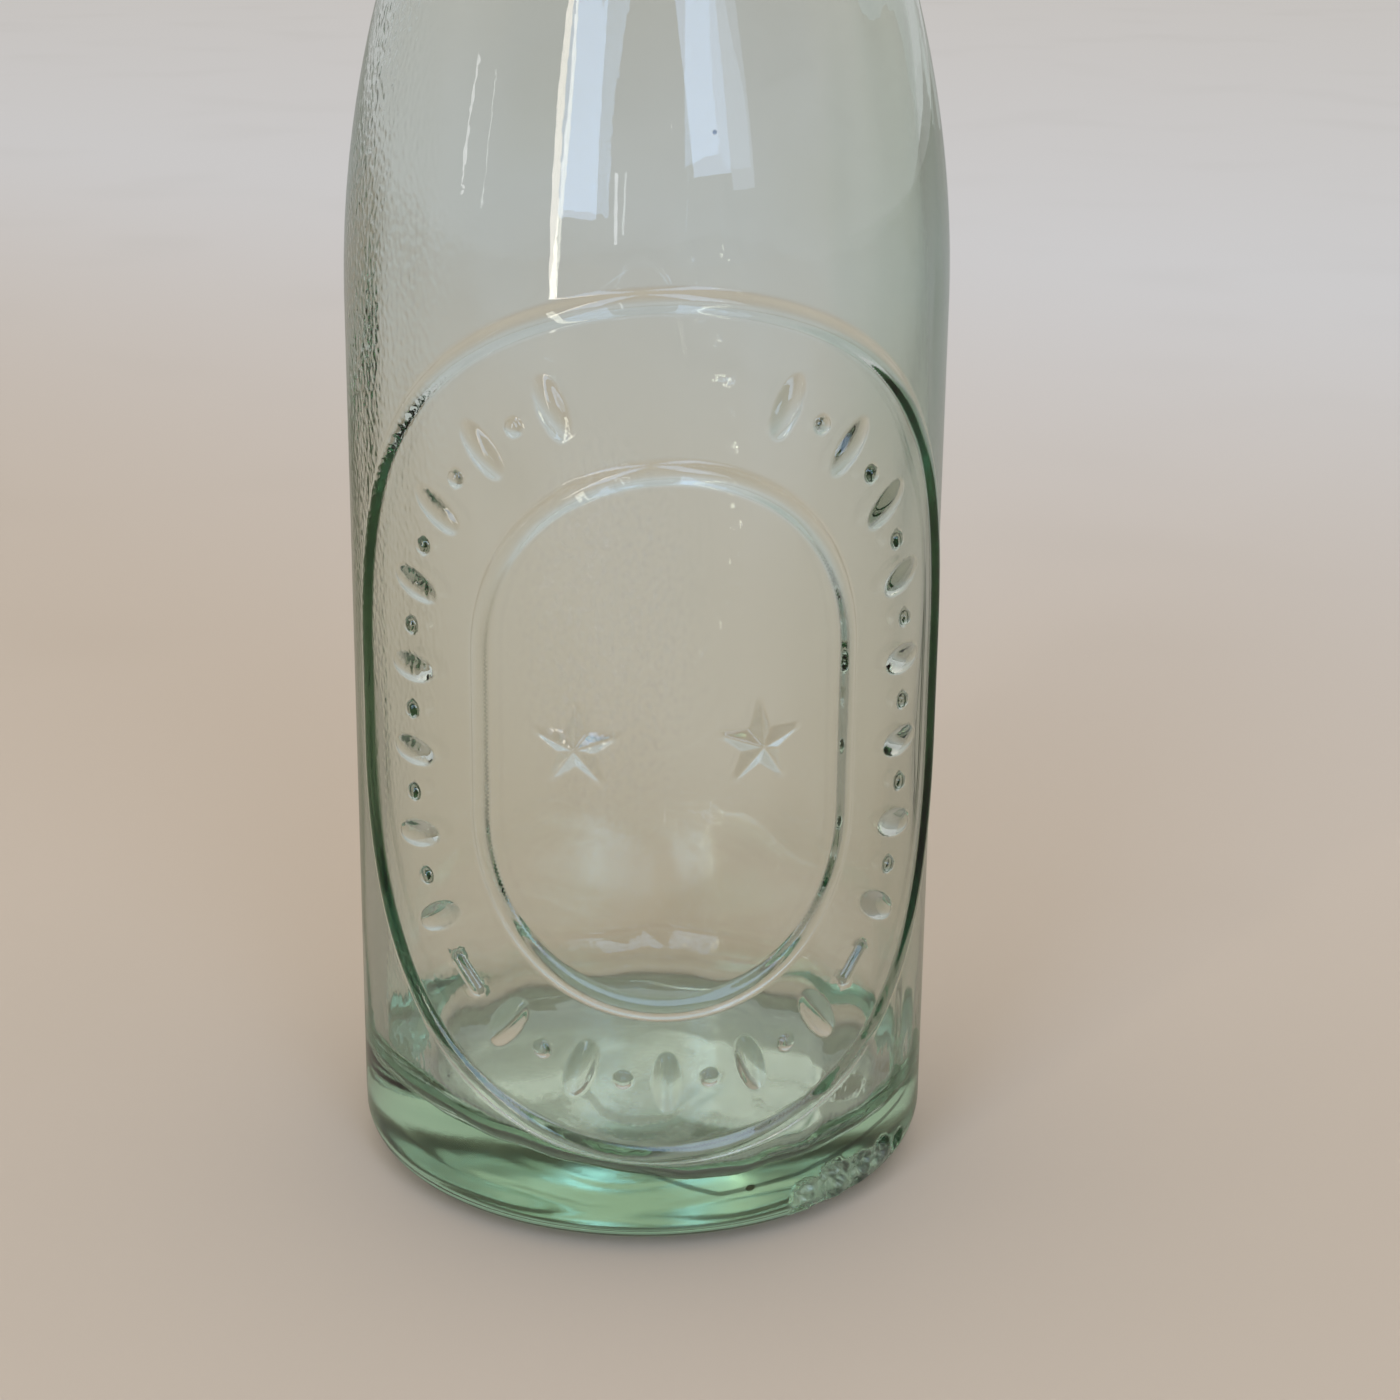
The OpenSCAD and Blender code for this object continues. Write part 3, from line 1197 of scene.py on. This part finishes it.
@dataclass(frozen=True)
class Steps:
    """Distances between the mesh's points, and the limits that keep them apart or take them as one."""

    columns: int = 180
    front: float = 1.15
    back: float = 3.0
    bruise: float = 0.42
    front_reach: float = 62.0
    bruise_across: Pair = (-22.0, 20.0)
    bruise_from: float = 1.0
    bruise_over_heel: float = 3.5
    figure_gap: float = 0.16
    edge_share: float = 0.6
    gap_share: float = 0.62
    same: float = 1e-3
    merge: float = 1e-5
    underside: float = 0.9
    foot: float = 0.8
    shoulder: float = 1.9
    neck_curve: float = 1.6
    neck: float = 2.6
    under_lip: float = 0.5
    under_lip_reach: Pair = (0.8, 0.1)
    lip_edge: float = 0.8
    lip_side: float = 2.0
    lip_top: float = 1.5
    rim: float = 0.5
    bore: float = 4.0
    inner_neck: float = 2.0
    inner_wall: float = 1.9
    over_heel: float = 0.8
    over_heel_reach: float = 14.0
    inner_heel: float = 0.5
    floor: float = 2.4


@dataclass(frozen=True)
class Unevenness:
    """How the blown glass strays from the plain section, inside and under the base."""

    lean: float = 0.75
    lean_fade: Pair = (20.0, 120.0)
    ripple_h: float = 0.10
    drift_h: float = 0.16
    seam_fade: float = 12.0
    neck_fade: Pair = (195.0, 233.0)
    base_z: float = 40.0
    wall_rise: Pair = (0.72, 0.94)
    rim_rise: Pair = (0.35, 0.85)
    floor_rise: Pair = (0.0, 8.0)
    floor_fade: Pair = (24.0, 40.0)
    floor_h: Pair = (0.05, 0.12)
    floor_edge: tuple[Pair, ...] = (
        (-180, 10.2), (-135, 10.5), (-90, 15.0), (-60, 15.0), (-28, 12.2), (-12, 10.7), (7, 8.3), (19, 8.8),
        (43, 10.4), (70, 12.6), (110, 10.5), (180, 10.2),
    )
    edge_step: float = 2.0
    edge_blend: int = 5
    edge_power: float = 1.5
    edge_fade: float = 26.0
    under_h: float = 0.12
    under_shift: float = 2.0
    under_rise: Pair = (2.0, 30.0)
    under_fade: Pair = (33.0, 36.5)
    wall_ripple: Waves = field(default_factory=lambda: Waves(SEED, 14, (9.0, 24.0), stretch=3.0))
    wall_drift: Waves = field(default_factory=lambda: Waves(SEED + 1, 8, (30.0, 90.0), stretch=1.6))
    floor_waves: Waves = field(default_factory=lambda: Waves(SEED + 2, 16, (5.0, 16.0)))
    under_rings: Waves = field(default_factory=lambda: Waves(SEED + 3, 12, (3.0, 8.0)))
    under_drift: Waves = field(default_factory=lambda: Waves(SEED + 4, 8, (14.0, 40.0)))

    def thickness(self, a: Array, z: Array, radius: float, body_r: float) -> Array:
        """How much thicker the glass is than the plain section, as blown glass varies.

        Args:
            a: Angles from the front towards +X.
            z: Heights.
            radius: Radius of the plain section there.
            body_r: Radius of the body.

        Returns:
            Added thickness at each point, negative where the glass is thinner.
        """
        s = a * body_r
        seam = smooth_step(0.0, self.seam_fade, math.pi * body_r - np.abs(s))
        lean = self.lean * np.sin(-a) * (1 - smooth_step(*self.lean_fade, z))
        ripple = self.ripple_h * self.wall_ripple.at(s, z) + self.drift_h * self.wall_drift.at(s, z)
        ripple = ripple * seam
        if z[0] > self.base_z:
            return (lean + ripple) * (1 - smooth_step(*self.neck_fade, z))
        reach = np.full_like(a, radius)
        rises = (self.wall_rise, self.rim_rise)
        wall, rim = (smooth_step(low * body_r, high * body_r, reach) for low, high in rises)
        floor = self.floor_waves.at(radius * np.sin(a), radius * np.cos(a))
        floor = floor * smooth_step(*self.floor_rise, reach) * (1 - smooth_step(*self.floor_fade, z))
        floor = floor * (self.floor_h[0] + self.floor_h[1] * rim)
        return (lean + ripple) * wall - floor

    def edge_lift(self, a: Array, floor_t: float) -> Array:
        """How far the floor's edge rises over its plain height, as the thick glass settled unevenly.

        Args:
            a: Angles from the front towards +X.
            floor_t: Plain height of the floor.

        Returns:
            The rise at each angle.
        """
        turns, heights = np.array(self.floor_edge).T
        steps = np.radians(np.arange(-180, 180, self.edge_step))
        raw = np.interp(np.degrees(steps), turns, heights)
        blend = self.edge_blend
        kernel = np.hanning(2 * blend + 1) / np.hanning(2 * blend + 1).sum()
        smooth = np.convolve(np.concatenate([raw[-blend:], raw, raw[:blend]]), kernel, mode="valid")
        return np.interp(a, steps, smooth, period=2 * math.pi) - floor_t

    def under_lift(self, a: Array, radius: float) -> Array:
        """How far the underside rises, as the mould's turned steps and the cooling left it wavy.

        Args:
            a: Angles from the front towards +X.
            radius: Radius of the plain section.

        Returns:
            The rise, zero on the ring that the bottle stands on.
        """
        x, y = radius * np.sin(a), radius * np.cos(a)
        rings = self.under_rings.at(radius + self.under_shift * self.under_drift.at(x, y), np.zeros_like(a))
        r = np.array(radius)
        share = smooth_step(*self.under_rise, r) * (1 - smooth_step(*self.under_fade, r))
        return self.under_h * share * (1 + np.tanh(rings))


@dataclass
class GlassBottle:
    """The bottle: one turned section, with its relief and unevenness, as one closed mesh."""

    body_r: float = 44.0
    wall_t: float = 2.6
    shoulder_z: float = 133.0
    shoulder_r: float = 160.0
    neck_curve_r: float = 45.0
    heel_r: float = 7.0
    floor_t: float = 12.0
    floor_crown_h: float = 4.5
    inner_heel_r: float = 7.0
    push_up_r: float = 32.0
    push_up_h: float = 2.0
    neck_r: float = 18.5
    neck_h: float = 14.0
    mouth_r: float = 14.5
    lip_r: float = 21.5
    lip_h: float = 15.0
    lip_edge_r: float = 4.0
    rim_r: float = 1.5
    skin_top_z: float = 144.0
    steps: Steps = field(default_factory=Steps)
    uneven: Unevenness = field(default_factory=Unevenness)
    emblem: Emblem = field(default_factory=Emblem)
    bruise: Bruise = field(default_factory=Bruise)
    glass: GreenGlass = field(default_factory=GreenGlass)

    @property
    def skin_turn(self) -> float:
        """Angle of the shoulder's arc at which the skin's sheet ends, in radians."""
        return math.asin((self.skin_top_z - self.shoulder_z) / self.shoulder_r)

    @property
    def heel_length(self) -> float:
        """Length of the heel's arc."""
        return self.heel_r * math.pi / 2

    @property
    def sheet_height(self) -> float:
        """Height of the unrolled sheet of the outer skin."""
        return self.heel_length + self.shoulder_z - self.heel_r + self.skin_turn * self.shoulder_r

    @property
    def top_z(self) -> float:
        """Height of the lip's top."""
        rise, _ = s_curve(self.body_r, self.neck_r, self.shoulder_r, self.neck_curve_r)
        return self.shoulder_z + rise + self.neck_h + self.lip_h

    def profile(self, v: Array) -> tuple[Array, Array, Array, Array]:
        """The plain skin at heights of the unrolled sheet.

        Args:
            v: Heights on the sheet.

        Returns:
            Radius, height, and the outward normal's share outwards and upwards.
        """
        wall_end = self.heel_length + self.shoulder_z - self.heel_r
        heel = (np.minimum(v, self.heel_length) - self.heel_length) / self.heel_r
        over = np.maximum(v - wall_end, 0.0) / self.shoulder_r
        tilt = heel + over
        between = np.clip(v, self.heel_length, wall_end) - self.heel_length
        r = self.body_r - self.heel_r * (1 - np.cos(heel)) - self.shoulder_r * (1 - np.cos(over))
        z = self.heel_r * (1 + np.sin(heel)) + between + self.shoulder_r * np.sin(over)
        return r, z, np.cos(tilt), np.sin(tilt)

    def sheet_of(self, z: Array) -> Array:
        """Heights on the unrolled sheet.

        Args:
            z: Heights on the wall.

        Returns:
            The height on the sheet of each.
        """
        over = np.clip((z - self.shoulder_z) / self.shoulder_r, 0.0, 1.0)
        plain = self.heel_length + np.minimum(z, self.shoulder_z) - self.heel_r
        return plain + self.shoulder_r * np.arcsin(over)

    def place_on_skin(self, s: Array, v: Array) -> Array:
        """Rolls points of the sheet up into the bottle's skin, with its relief and bruise.

        Args:
            s: Places round the wall.
            v: Heights on the sheet.

        Returns:
            The points of the skin.
        """
        a = s / self.body_r
        r, z, out_n, up_n = self.profile(v)
        lift = self.emblem.relief(s, z)
        around = np.stack([np.sin(a), -np.cos(a), np.zeros_like(a)], 1)
        normals = around * out_n[:, None]
        normals[:, 2] = up_n
        xyz = around * r[:, None]
        xyz[:, 2] = z
        sunk = self.bruise.carve(xyz, normals, self.heel_r, self.body_r)
        return xyz + normals * (lift - sunk)[:, None]

    def sheet_points(self) -> Array:
        """Points of the unrolled sheet: its edges, the figures' own points and grids between them.

        Returns:
            The points, round the wall and up the sheet, with the edges' points first.
        """
        steps, half, top = self.steps, math.pi * self.body_r, self.sheet_height
        columns = -half + 2 * half * np.arange(steps.columns + 1) / steps.columns
        edge_rows = np.linspace(0, top, round(top / steps.back) + 1)[1:-1]
        edges = [np.stack([columns, np.full_like(columns, v)], 1) for v in (0.0, top)]
        edges += [np.stack([np.full_like(edge_rows, s), edge_rows], 1) for s in (-half, half)]
        close = np.concatenate([figure.mesh_points() for figure in self.emblem.figures()])
        close[:, 1] = self.sheet_of(close[:, 1])
        middle = math.radians(self.bruise.angle) * self.body_r
        across = tuple(middle + end for end in steps.bruise_across)
        up = (steps.bruise_from, self.heel_length + steps.bruise_over_heel)
        chips = hex_grid(across, up, steps.bruise)
        close = spread(np.zeros((0, 2)), np.concatenate([chips, close]), steps.figure_gap)
        margin, reach = steps.edge_share * steps.front, steps.front_reach
        up = (margin, top - margin)
        grids = np.concatenate([
            hex_grid((-reach, reach), up, steps.front),
            hex_grid((-half + margin, -reach), up, steps.back),
            hex_grid((reach, half - margin), up, steps.back),
        ])
        grids = spread(close, grids, steps.gap_share * steps.front, thin=False)
        return np.concatenate(edges + [close, grids])

    def add_skin(self, mesh: Mesh) -> tuple[Array, Array]:
        """Triangulates the unrolled sheet and rolls it up.

        Args:
            mesh: The mesh to add to.

        Returns:
            Indices of the lowest and the highest row.
        """
        half, same = math.pi * self.body_r, self.steps.same
        points = self.sheet_points()
        corner = self.steps.columns
        sides = [(0, corner), (corner, 2 * corner + 1), (2 * corner + 1, corner + 1), (corner + 1, 0)]
        found = delaunay_2d_cdt([Vector(p) for p in points.tolist()], sides, [], 1, self.steps.merge)
        s, v = np.array([tuple(p) for p in found[0]], dtype=float).T
        own = mesh.add(self.place_on_skin(s, v))
        seam = s > half - same
        left, right = np.flatnonzero(s < -half + same), np.flatnonzero(seam)
        own[right[np.argsort(v[right])]] = own[left[np.argsort(v[left])]]
        mesh.faces += [tuple(own[list(face)]) for face in found[2]]
        rows = []
        for height in (0.0, self.sheet_height):
            row = np.flatnonzero((np.abs(v - height) < same) & ~seam)
            rows.append(own[row[np.argsort(s[row])]])
        return rows[0], rows[1]

    def rings(self, section: Array, inside: bool) -> list[Array]:
        """Points of the coarse rows of a stretch of the section.

        Args:
            section: Radius and height of each row.
            inside: Whether the rows are on the inside, which is uneven.

        Returns:
            The points of each row.
        """
        a = -math.pi + 2 * math.pi * np.arange(self.steps.columns) / self.steps.columns
        tangent = np.gradient(section, axis=0)
        normal = np.stack([tangent[:, 1], -tangent[:, 0]], 1) / np.hypot(*tangent.T)[:, None]
        made = []
        for (radius, height), (out_n, up_n) in zip(section, normal):
            z = np.full_like(a, height)
            thick = self.uneven.thickness(a, z, radius, self.body_r) if inside else np.zeros_like(a)
            r = radius + thick * out_n
            lift = self.floor_lift(a, radius, height) if inside else self.under_lift(a, radius, height)
            made.append(np.stack([r * np.sin(a), -r * np.cos(a), z + thick * up_n + lift], 1))
        return made

    def floor_lift(self, a: Array, radius: float, height: float) -> Array:
        """How far the inside rises or sinks with the floor's uneven edge.

        Args:
            a: Angles from the front towards +X.
            radius: Radius of the plain section.
            height: Height of the plain section.

        Returns:
            The rise, which fades up the wall and evens out towards the axis.
        """
        rise = self.uneven.edge_lift(a, self.floor_t)
        share = min(1.0, radius / (self.body_r - self.wall_t)) ** self.uneven.edge_power
        heel_z = self.floor_t + self.inner_heel_r
        fade = 1 - float(smooth_step(heel_z, heel_z + self.uneven.edge_fade, np.array(height)))
        return rise * share * fade

    def under_lift(self, a: Array, radius: float, height: float) -> Array:
        """How far the outside's rows rise, which is nothing above the underside."""
        return self.uneven.under_lift(a, radius) if height <= self.push_up_h else np.zeros_like(a)

    def base(self) -> Array:
        """Section of the underside.

        Returns:
            Radius and height of its points, from near the axis to the heel.
        """
        cap_r = arc_radius(self.push_up_r, self.push_up_h)
        cap_turn = math.degrees(math.asin(self.push_up_r / cap_r))
        cap = arc((0, self.push_up_h - cap_r), cap_r, (90, 90 - cap_turn), self.steps.underside)[2:]
        foot = line((self.push_up_r, 0), (self.body_r - self.heel_r, 0), self.steps.foot)
        return np.concatenate([cap, foot])

    def neck_and_lip(self) -> Array:
        """Section of the outside from above the skin's sheet, over the lip, into the mouth.

        Returns:
            Radius and height of its points.
        """
        steps = self.steps
        rise, turn = s_curve(self.body_r, self.neck_r, self.shoulder_r, self.neck_curve_r)
        neck_z = self.shoulder_z + rise
        lip_z = neck_z + self.neck_h
        top_z = lip_z + self.lip_h
        edge_r, rim_end = self.lip_r - self.lip_edge_r, self.mouth_r + self.rim_r
        dip = math.degrees(math.acos((self.neck_r - edge_r) / self.lip_edge_r))
        shoulder = (self.body_r - self.shoulder_r, self.shoulder_z)
        neck_curve = (self.neck_r + self.neck_curve_r, neck_z)
        below, above = lip_z - steps.under_lip_reach[0], lip_z + steps.under_lip_reach[1]
        side_z = (lip_z + self.lip_edge_r, top_z - self.lip_edge_r)
        return np.concatenate([
            arc(shoulder, self.shoulder_r, (math.degrees(self.skin_turn), turn), steps.shoulder)[1:],
            arc(neck_curve, self.neck_curve_r, (180 + turn, 180), steps.neck_curve),
            line((self.neck_r, neck_z), (self.neck_r, below), steps.neck),
            line((self.neck_r, below), (self.neck_r, above), steps.under_lip),
            arc((edge_r, side_z[0]), self.lip_edge_r, (-dip, 0), steps.lip_edge),
            line((self.lip_r, side_z[0]), (self.lip_r, side_z[1]), steps.lip_side),
            arc((edge_r, side_z[1]), self.lip_edge_r, (0, 90), steps.lip_edge),
            line((edge_r, top_z), (rim_end, top_z), steps.lip_top),
            arc((rim_end, top_z - self.rim_r), self.rim_r, (90, 180), steps.rim),
        ])

    def inside(self) -> Array:
        """Section of the inside, from the mouth down to near the axis on the floor.

        Returns:
            Radius and height of its points.
        """
        steps = self.steps
        inner_r = self.body_r - self.wall_t
        convex, concave = self.shoulder_r - self.wall_t, self.neck_curve_r + self.wall_t
        rise, turn = s_curve(inner_r, self.mouth_r, convex, concave)
        bore_z = self.shoulder_z + rise
        flat_r = inner_r - self.inner_heel_r
        crown_r = arc_radius(flat_r, self.floor_crown_h)
        crown_turn = math.degrees(math.asin(flat_r / crown_r))
        crown_z = self.floor_t + self.floor_crown_h - crown_r
        heel_z = self.floor_t + self.inner_heel_r
        close_z = heel_z + steps.over_heel_reach
        return np.concatenate([
            line((self.mouth_r, self.top_z - self.rim_r), (self.mouth_r, bore_z), steps.bore),
            arc((self.mouth_r + concave, bore_z), concave, (180, 180 + turn), steps.inner_neck),
            arc((inner_r - convex, self.shoulder_z), convex, (turn, 0), steps.inner_neck),
            line((inner_r, self.shoulder_z), (inner_r, close_z), steps.inner_wall),
            line((inner_r, close_z), (inner_r, heel_z), steps.over_heel),
            arc((flat_r, heel_z), self.inner_heel_r, (0, -90), steps.inner_heel),
            arc((0, crown_z), crown_r, (90 - crown_turn, 90), steps.floor),
        ])

    def build(self, effects: Effects) -> bpy.types.Object:
        """Makes the bottle and gives it its glass.

        Args:
            effects: The shared surface effects.

        Returns:
            The object, in metres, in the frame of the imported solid.
        """
        mesh = Mesh()
        last = mesh.add(np.array([[0.0, 0.0, self.push_up_h]]))
        last = mesh.stack(last, self.rings(self.base(), inside=False))
        low, high = self.add_skin(mesh)
        mesh.bridge(last, low)
        last = mesh.stack(high, self.rings(self.neck_and_lip(), inside=False))
        last = mesh.stack(last, self.rings(self.inside(), inside=True))
        mesh.stack(last, [np.array([[0.0, 0.0, self.floor_t + self.floor_crown_h]])])
        made = mesh.to_object("glass_bottle")
        made.data.materials.append(self.glass.material(effects))
        return made


@dataclass(frozen=True)
class Table:
    """The plain pale table, warm near the bottle, cool far behind it, and painted light right under the
    glass.
    """

    radius: float = 8.0
    count: int = 96
    below: float = 0.0002
    near: Colour = (0.50, 0.42, 0.335, 1.0)
    far: Colour = (0.59, 0.59, 0.595, 1.0)
    # Painted shade: the table's colour where it is seen in a reflection, standing in for a dim room
    reflected_shade: Colour = (0.58, 0.6, 0.58, 1.0)
    # Painted light: the pale colour of a disc under the glass, standing in for light focused through the
    # base
    under: Colour = (0.86, 0.86, 0.70, 1.0)
    light_pool_reach: Pair = (0.040, 0.034)
    cool_way: Triple = (0.8, 1.0, 0.0)
    cool: Pair = (0.0, 1.15)
    mottle: Colour = (0.93, 0.93, 0.92, 1.0)
    mottle_scale: float = 9.0
    mottle_edge: float = 0.3
    mottle_share: float = 0.35
    roughness: float = 0.9

    def build(self, effects: Effects) -> bpy.types.Object:
        """Makes the table top just under the standing plane.

        Args:
            effects: The shared surface effects.

        Returns:
            The table top.
        """
        turns = [2 * math.pi * i / self.count for i in range(self.count)]
        rim = [(self.radius * math.cos(t), self.radius * math.sin(t), 0) for t in turns]
        made = new_object("table", rim, [tuple(range(self.count))])
        made.location.z = -self.below
        made.data.materials.append(self.material(effects))
        return made

    def material(self, effects: Effects) -> bpy.types.Material:
        """A matt pale surface whose colour drifts from warm to cool with distance.

        Light and shade are painted on it: a pool of light under the glass, and shade where it is seen in a
        reflection.

        Args:
            effects: The shared surface effects.

        Returns:
            The material.
        """
        mat, w = Wiring.of_material("table_top")
        place = w.node("TexCoord", {}).outputs["Object"]
        along = w.node("VectorMath", {0: place, 1: self.cool_way}, operation="DOT_PRODUCT").outputs["Value"]
        colour = w.mix(w.ramp(along, *self.cool), self.near, self.far)
        # Painted light: the table is painted palest in a disc under the glass, as a pool of focused light
        colour = w.mix(w.ramp(w.length(place), *self.light_pool_reach), colour, self.under)
        # Painted shade: seen in a reflection, the table is darkened, which gives the glass its dark edges
        once = w.math("MINIMUM", w.node("LightPath", {}).outputs["Glossy Depth"], 1.0)
        colour = w.mix(once, colour, self.reflected_shade, Blend.STAIN)
        patches = {"Place": place, "Scale": self.mottle_scale, "Edge": self.mottle_edge}
        mask = w.node("Group", patches, node_tree=effects.patches).outputs["Mask"]
        colour = w.mix(w.product(mask, self.mottle_share), colour, self.mottle, Blend.STAIN)
        looks = {"Base Color": colour, "Roughness": self.roughness, "Specular IOR Level": 0.0}
        w.node("OutputMaterial", {"Surface": w.node("BsdfPrincipled", looks).outputs[0]})
        return mat


@dataclass(frozen=True)
class Camera:
    """The photograph's view: near, a little above, looking down at the front."""

    focal_px: float = 2762.0
    frame_px: float = 1400.0
    sensor: float = 36.0
    clip: Pair = (0.01, 100.0)
    distance: float = 0.4022
    height: float = 0.2032
    side: float = 0.00843
    turn: float = 5.6
    pitch: float = 18.21
    roll: float = 0.69

    def build(self) -> bpy.types.Object:
        """Makes the camera and gives it to the scene.

        Returns:
            The camera.
        """
        data = bpy.data.cameras.new("camera")
        data.sensor_width = self.sensor
        data.lens = self.sensor * self.focal_px / self.frame_px
        data.clip_start, data.clip_end = self.clip
        camera = bpy.data.objects.new("camera", data)
        bpy.context.scene.collection.objects.link(camera)
        turn, pitch, roll = (math.radians(x) for x in (self.turn, self.pitch, self.roll))
        ahead = Vector((math.sin(turn), math.cos(turn), 0))
        right = Vector((math.cos(turn), -math.sin(turn), 0))
        forward = ahead * math.cos(pitch) + Vector((0, 0, -math.sin(pitch)))
        up = right.cross(forward)
        x_axis = right * math.cos(roll) + up * math.sin(roll)
        y_axis = up * math.cos(roll) - right * math.sin(roll)
        axes = Matrix((x_axis, y_axis, -forward)).transposed().to_4x4()
        spot = right * self.side - ahead * self.distance + Vector((0, 0, self.height))
        camera.matrix_world = Matrix.Translation(spot) @ axes
        bpy.context.scene.camera = camera
        return camera


@dataclass(frozen=True)
class Pane:
    """A bright window pane: the directions that it fills, seen from the bottle, and its light.

    The low and high edges are each given as an elevation and the azimuths of their two ends,
    in degrees, from the front towards +X.
    """

    name: str
    distance: float
    low: Triple
    high: Triple
    light: Triple
    seen_from_z: float = 0.14

    def build(self) -> bpy.types.Object:
        """Makes the pane, which lights and reflections show and the camera doesn't.

        Returns:
            The pane.
        """
        corners = []
        for (elevation, first, second), order in ((self.low, 1), (self.high, -1)):
            for azimuth in (first, second)[::order]:
                a = math.radians(azimuth)
                up = self.seen_from_z + self.distance * math.tan(math.radians(elevation))
                corners.append((self.distance * math.sin(a), -self.distance * math.cos(a), up))
        made = new_object(self.name, corners, [(0, 1, 2, 3)])
        made.visible_camera = False
        made.visible_shadow = False
        mat, w = Wiring.of_material(self.name)
        glow = w.node("Emission", {"Color": (*self.light, 1.0), "Strength": 1.0})
        w.node("OutputMaterial", {"Surface": glow.outputs[0]})
        made.data.materials.append(mat)
        return made


@dataclass(frozen=True)
class Studio:
    """Soft daylight: a sky that is brighter above and dim behind the camera, and windows there."""

    high_sky: Colour = (1.2, 1.13, 1.04, 1.0)
    low_sky: Colour = (0.6, 0.59, 0.58, 1.0)
    sky_rise: Pair = (0.05, 0.75)
    dim_side: float = 0.35
    dim_back: Pair = (0.1, -0.6)
    dim_up: Pair = (0.95, 0.6)
    backdrop: Colour = (0.59, 0.59, 0.595, 1.0)
    backdrop_up: Pair = (0.35, 0.2)
    panes: tuple[Pane, ...] = (
        Pane("pane_left", 1.6, (4, -37, -23), (62, -38, -19), (2.4, 3.2, 4.6)),
        Pane("pane_right", 1.6, (9, 12.5, 26.5), (62, -12.8, 17), (2.4, 3.2, 4.6)),
        Pane("pane_right_dim", 1.6, (7, 27, 35.5), (38, 21, 32), (1.4, 1.7, 2.2)),
        Pane("pane_edge", 0.8, (-8.6, -39.3, -36.5), (45, -39.3, -36.5), (9.0, 8.4, 7.4)),
        Pane("pane_glint_side", 1.2, (4, -77.0, -76.0), (17, -76.5, -75.5), (5.0, 5.0, 5.0)),
        Pane("pane_glint_mid", 1.2, (1.5, -16.4, -15.2), (9.5, -16.4, -15.2), (5.0, 5.2, 5.4)),
    )

    def build(self) -> list[bpy.types.Object]:
        """Makes the world and the panes.

        Returns:
            The panes.
        """
        world = bpy.data.worlds.new("daylight")
        world.use_nodes = True
        w = Wiring(world.node_tree)
        _, y, z = w.node("SeparateXYZ", {0: w.node("TexCoord", {}).outputs["Generated"]}).outputs
        sky = w.mix(w.ramp(z, *self.sky_rise), self.low_sky, self.high_sky)
        dim = w.product(w.ramp(y, *self.dim_back), w.ramp(z, *self.dim_up), 1 - self.dim_side)
        sky = w.mix(dim, sky, DARK)
        path = w.node("LightPath", {}).outputs
        seen = w.most(path["Is Camera Ray"], path["Is Transmission Ray"])
        seen = w.product(seen, w.ramp(z, *self.backdrop_up))
        glow = w.node("Background", {"Color": w.mix(seen, sky, self.backdrop), "Strength": 1.0})
        w.node("OutputWorld", {"Surface": glow.outputs[0]})
        bpy.context.scene.world = world
        return [pane.build() for pane in self.panes]


def main() -> None:
    """Builds the stage and the bottle."""
    logging.basicConfig(level=logging.INFO, format="%(name)s: %(message)s")
    scene = bpy.context.scene
    scene.view_settings.view_transform = "Standard"
    scene.cycles.max_bounces = LIGHT_BOUNCES
    scene.cycles.transmission_bounces = LIGHT_BOUNCES
    scene.cycles.glossy_bounces = LIGHT_BOUNCES
    scene.cycles.use_light_tree = False
    Camera().build()
    effects = Effects.make()
    for stage in [Table().build(effects), *Studio().build()]:
        log.info("%s: stage", stage.name)
    bottle = GlassBottle().build(effects)
    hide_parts(NODE)
    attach(bottle, BODY)
    triangles = sum(len(p.vertices) - 2 for p in bottle.data.polygons)
    log.info("%s: %d vertices, %d triangles", bottle.name, len(bottle.data.vertices), triangles)


if __name__ == "__main__":
    main()
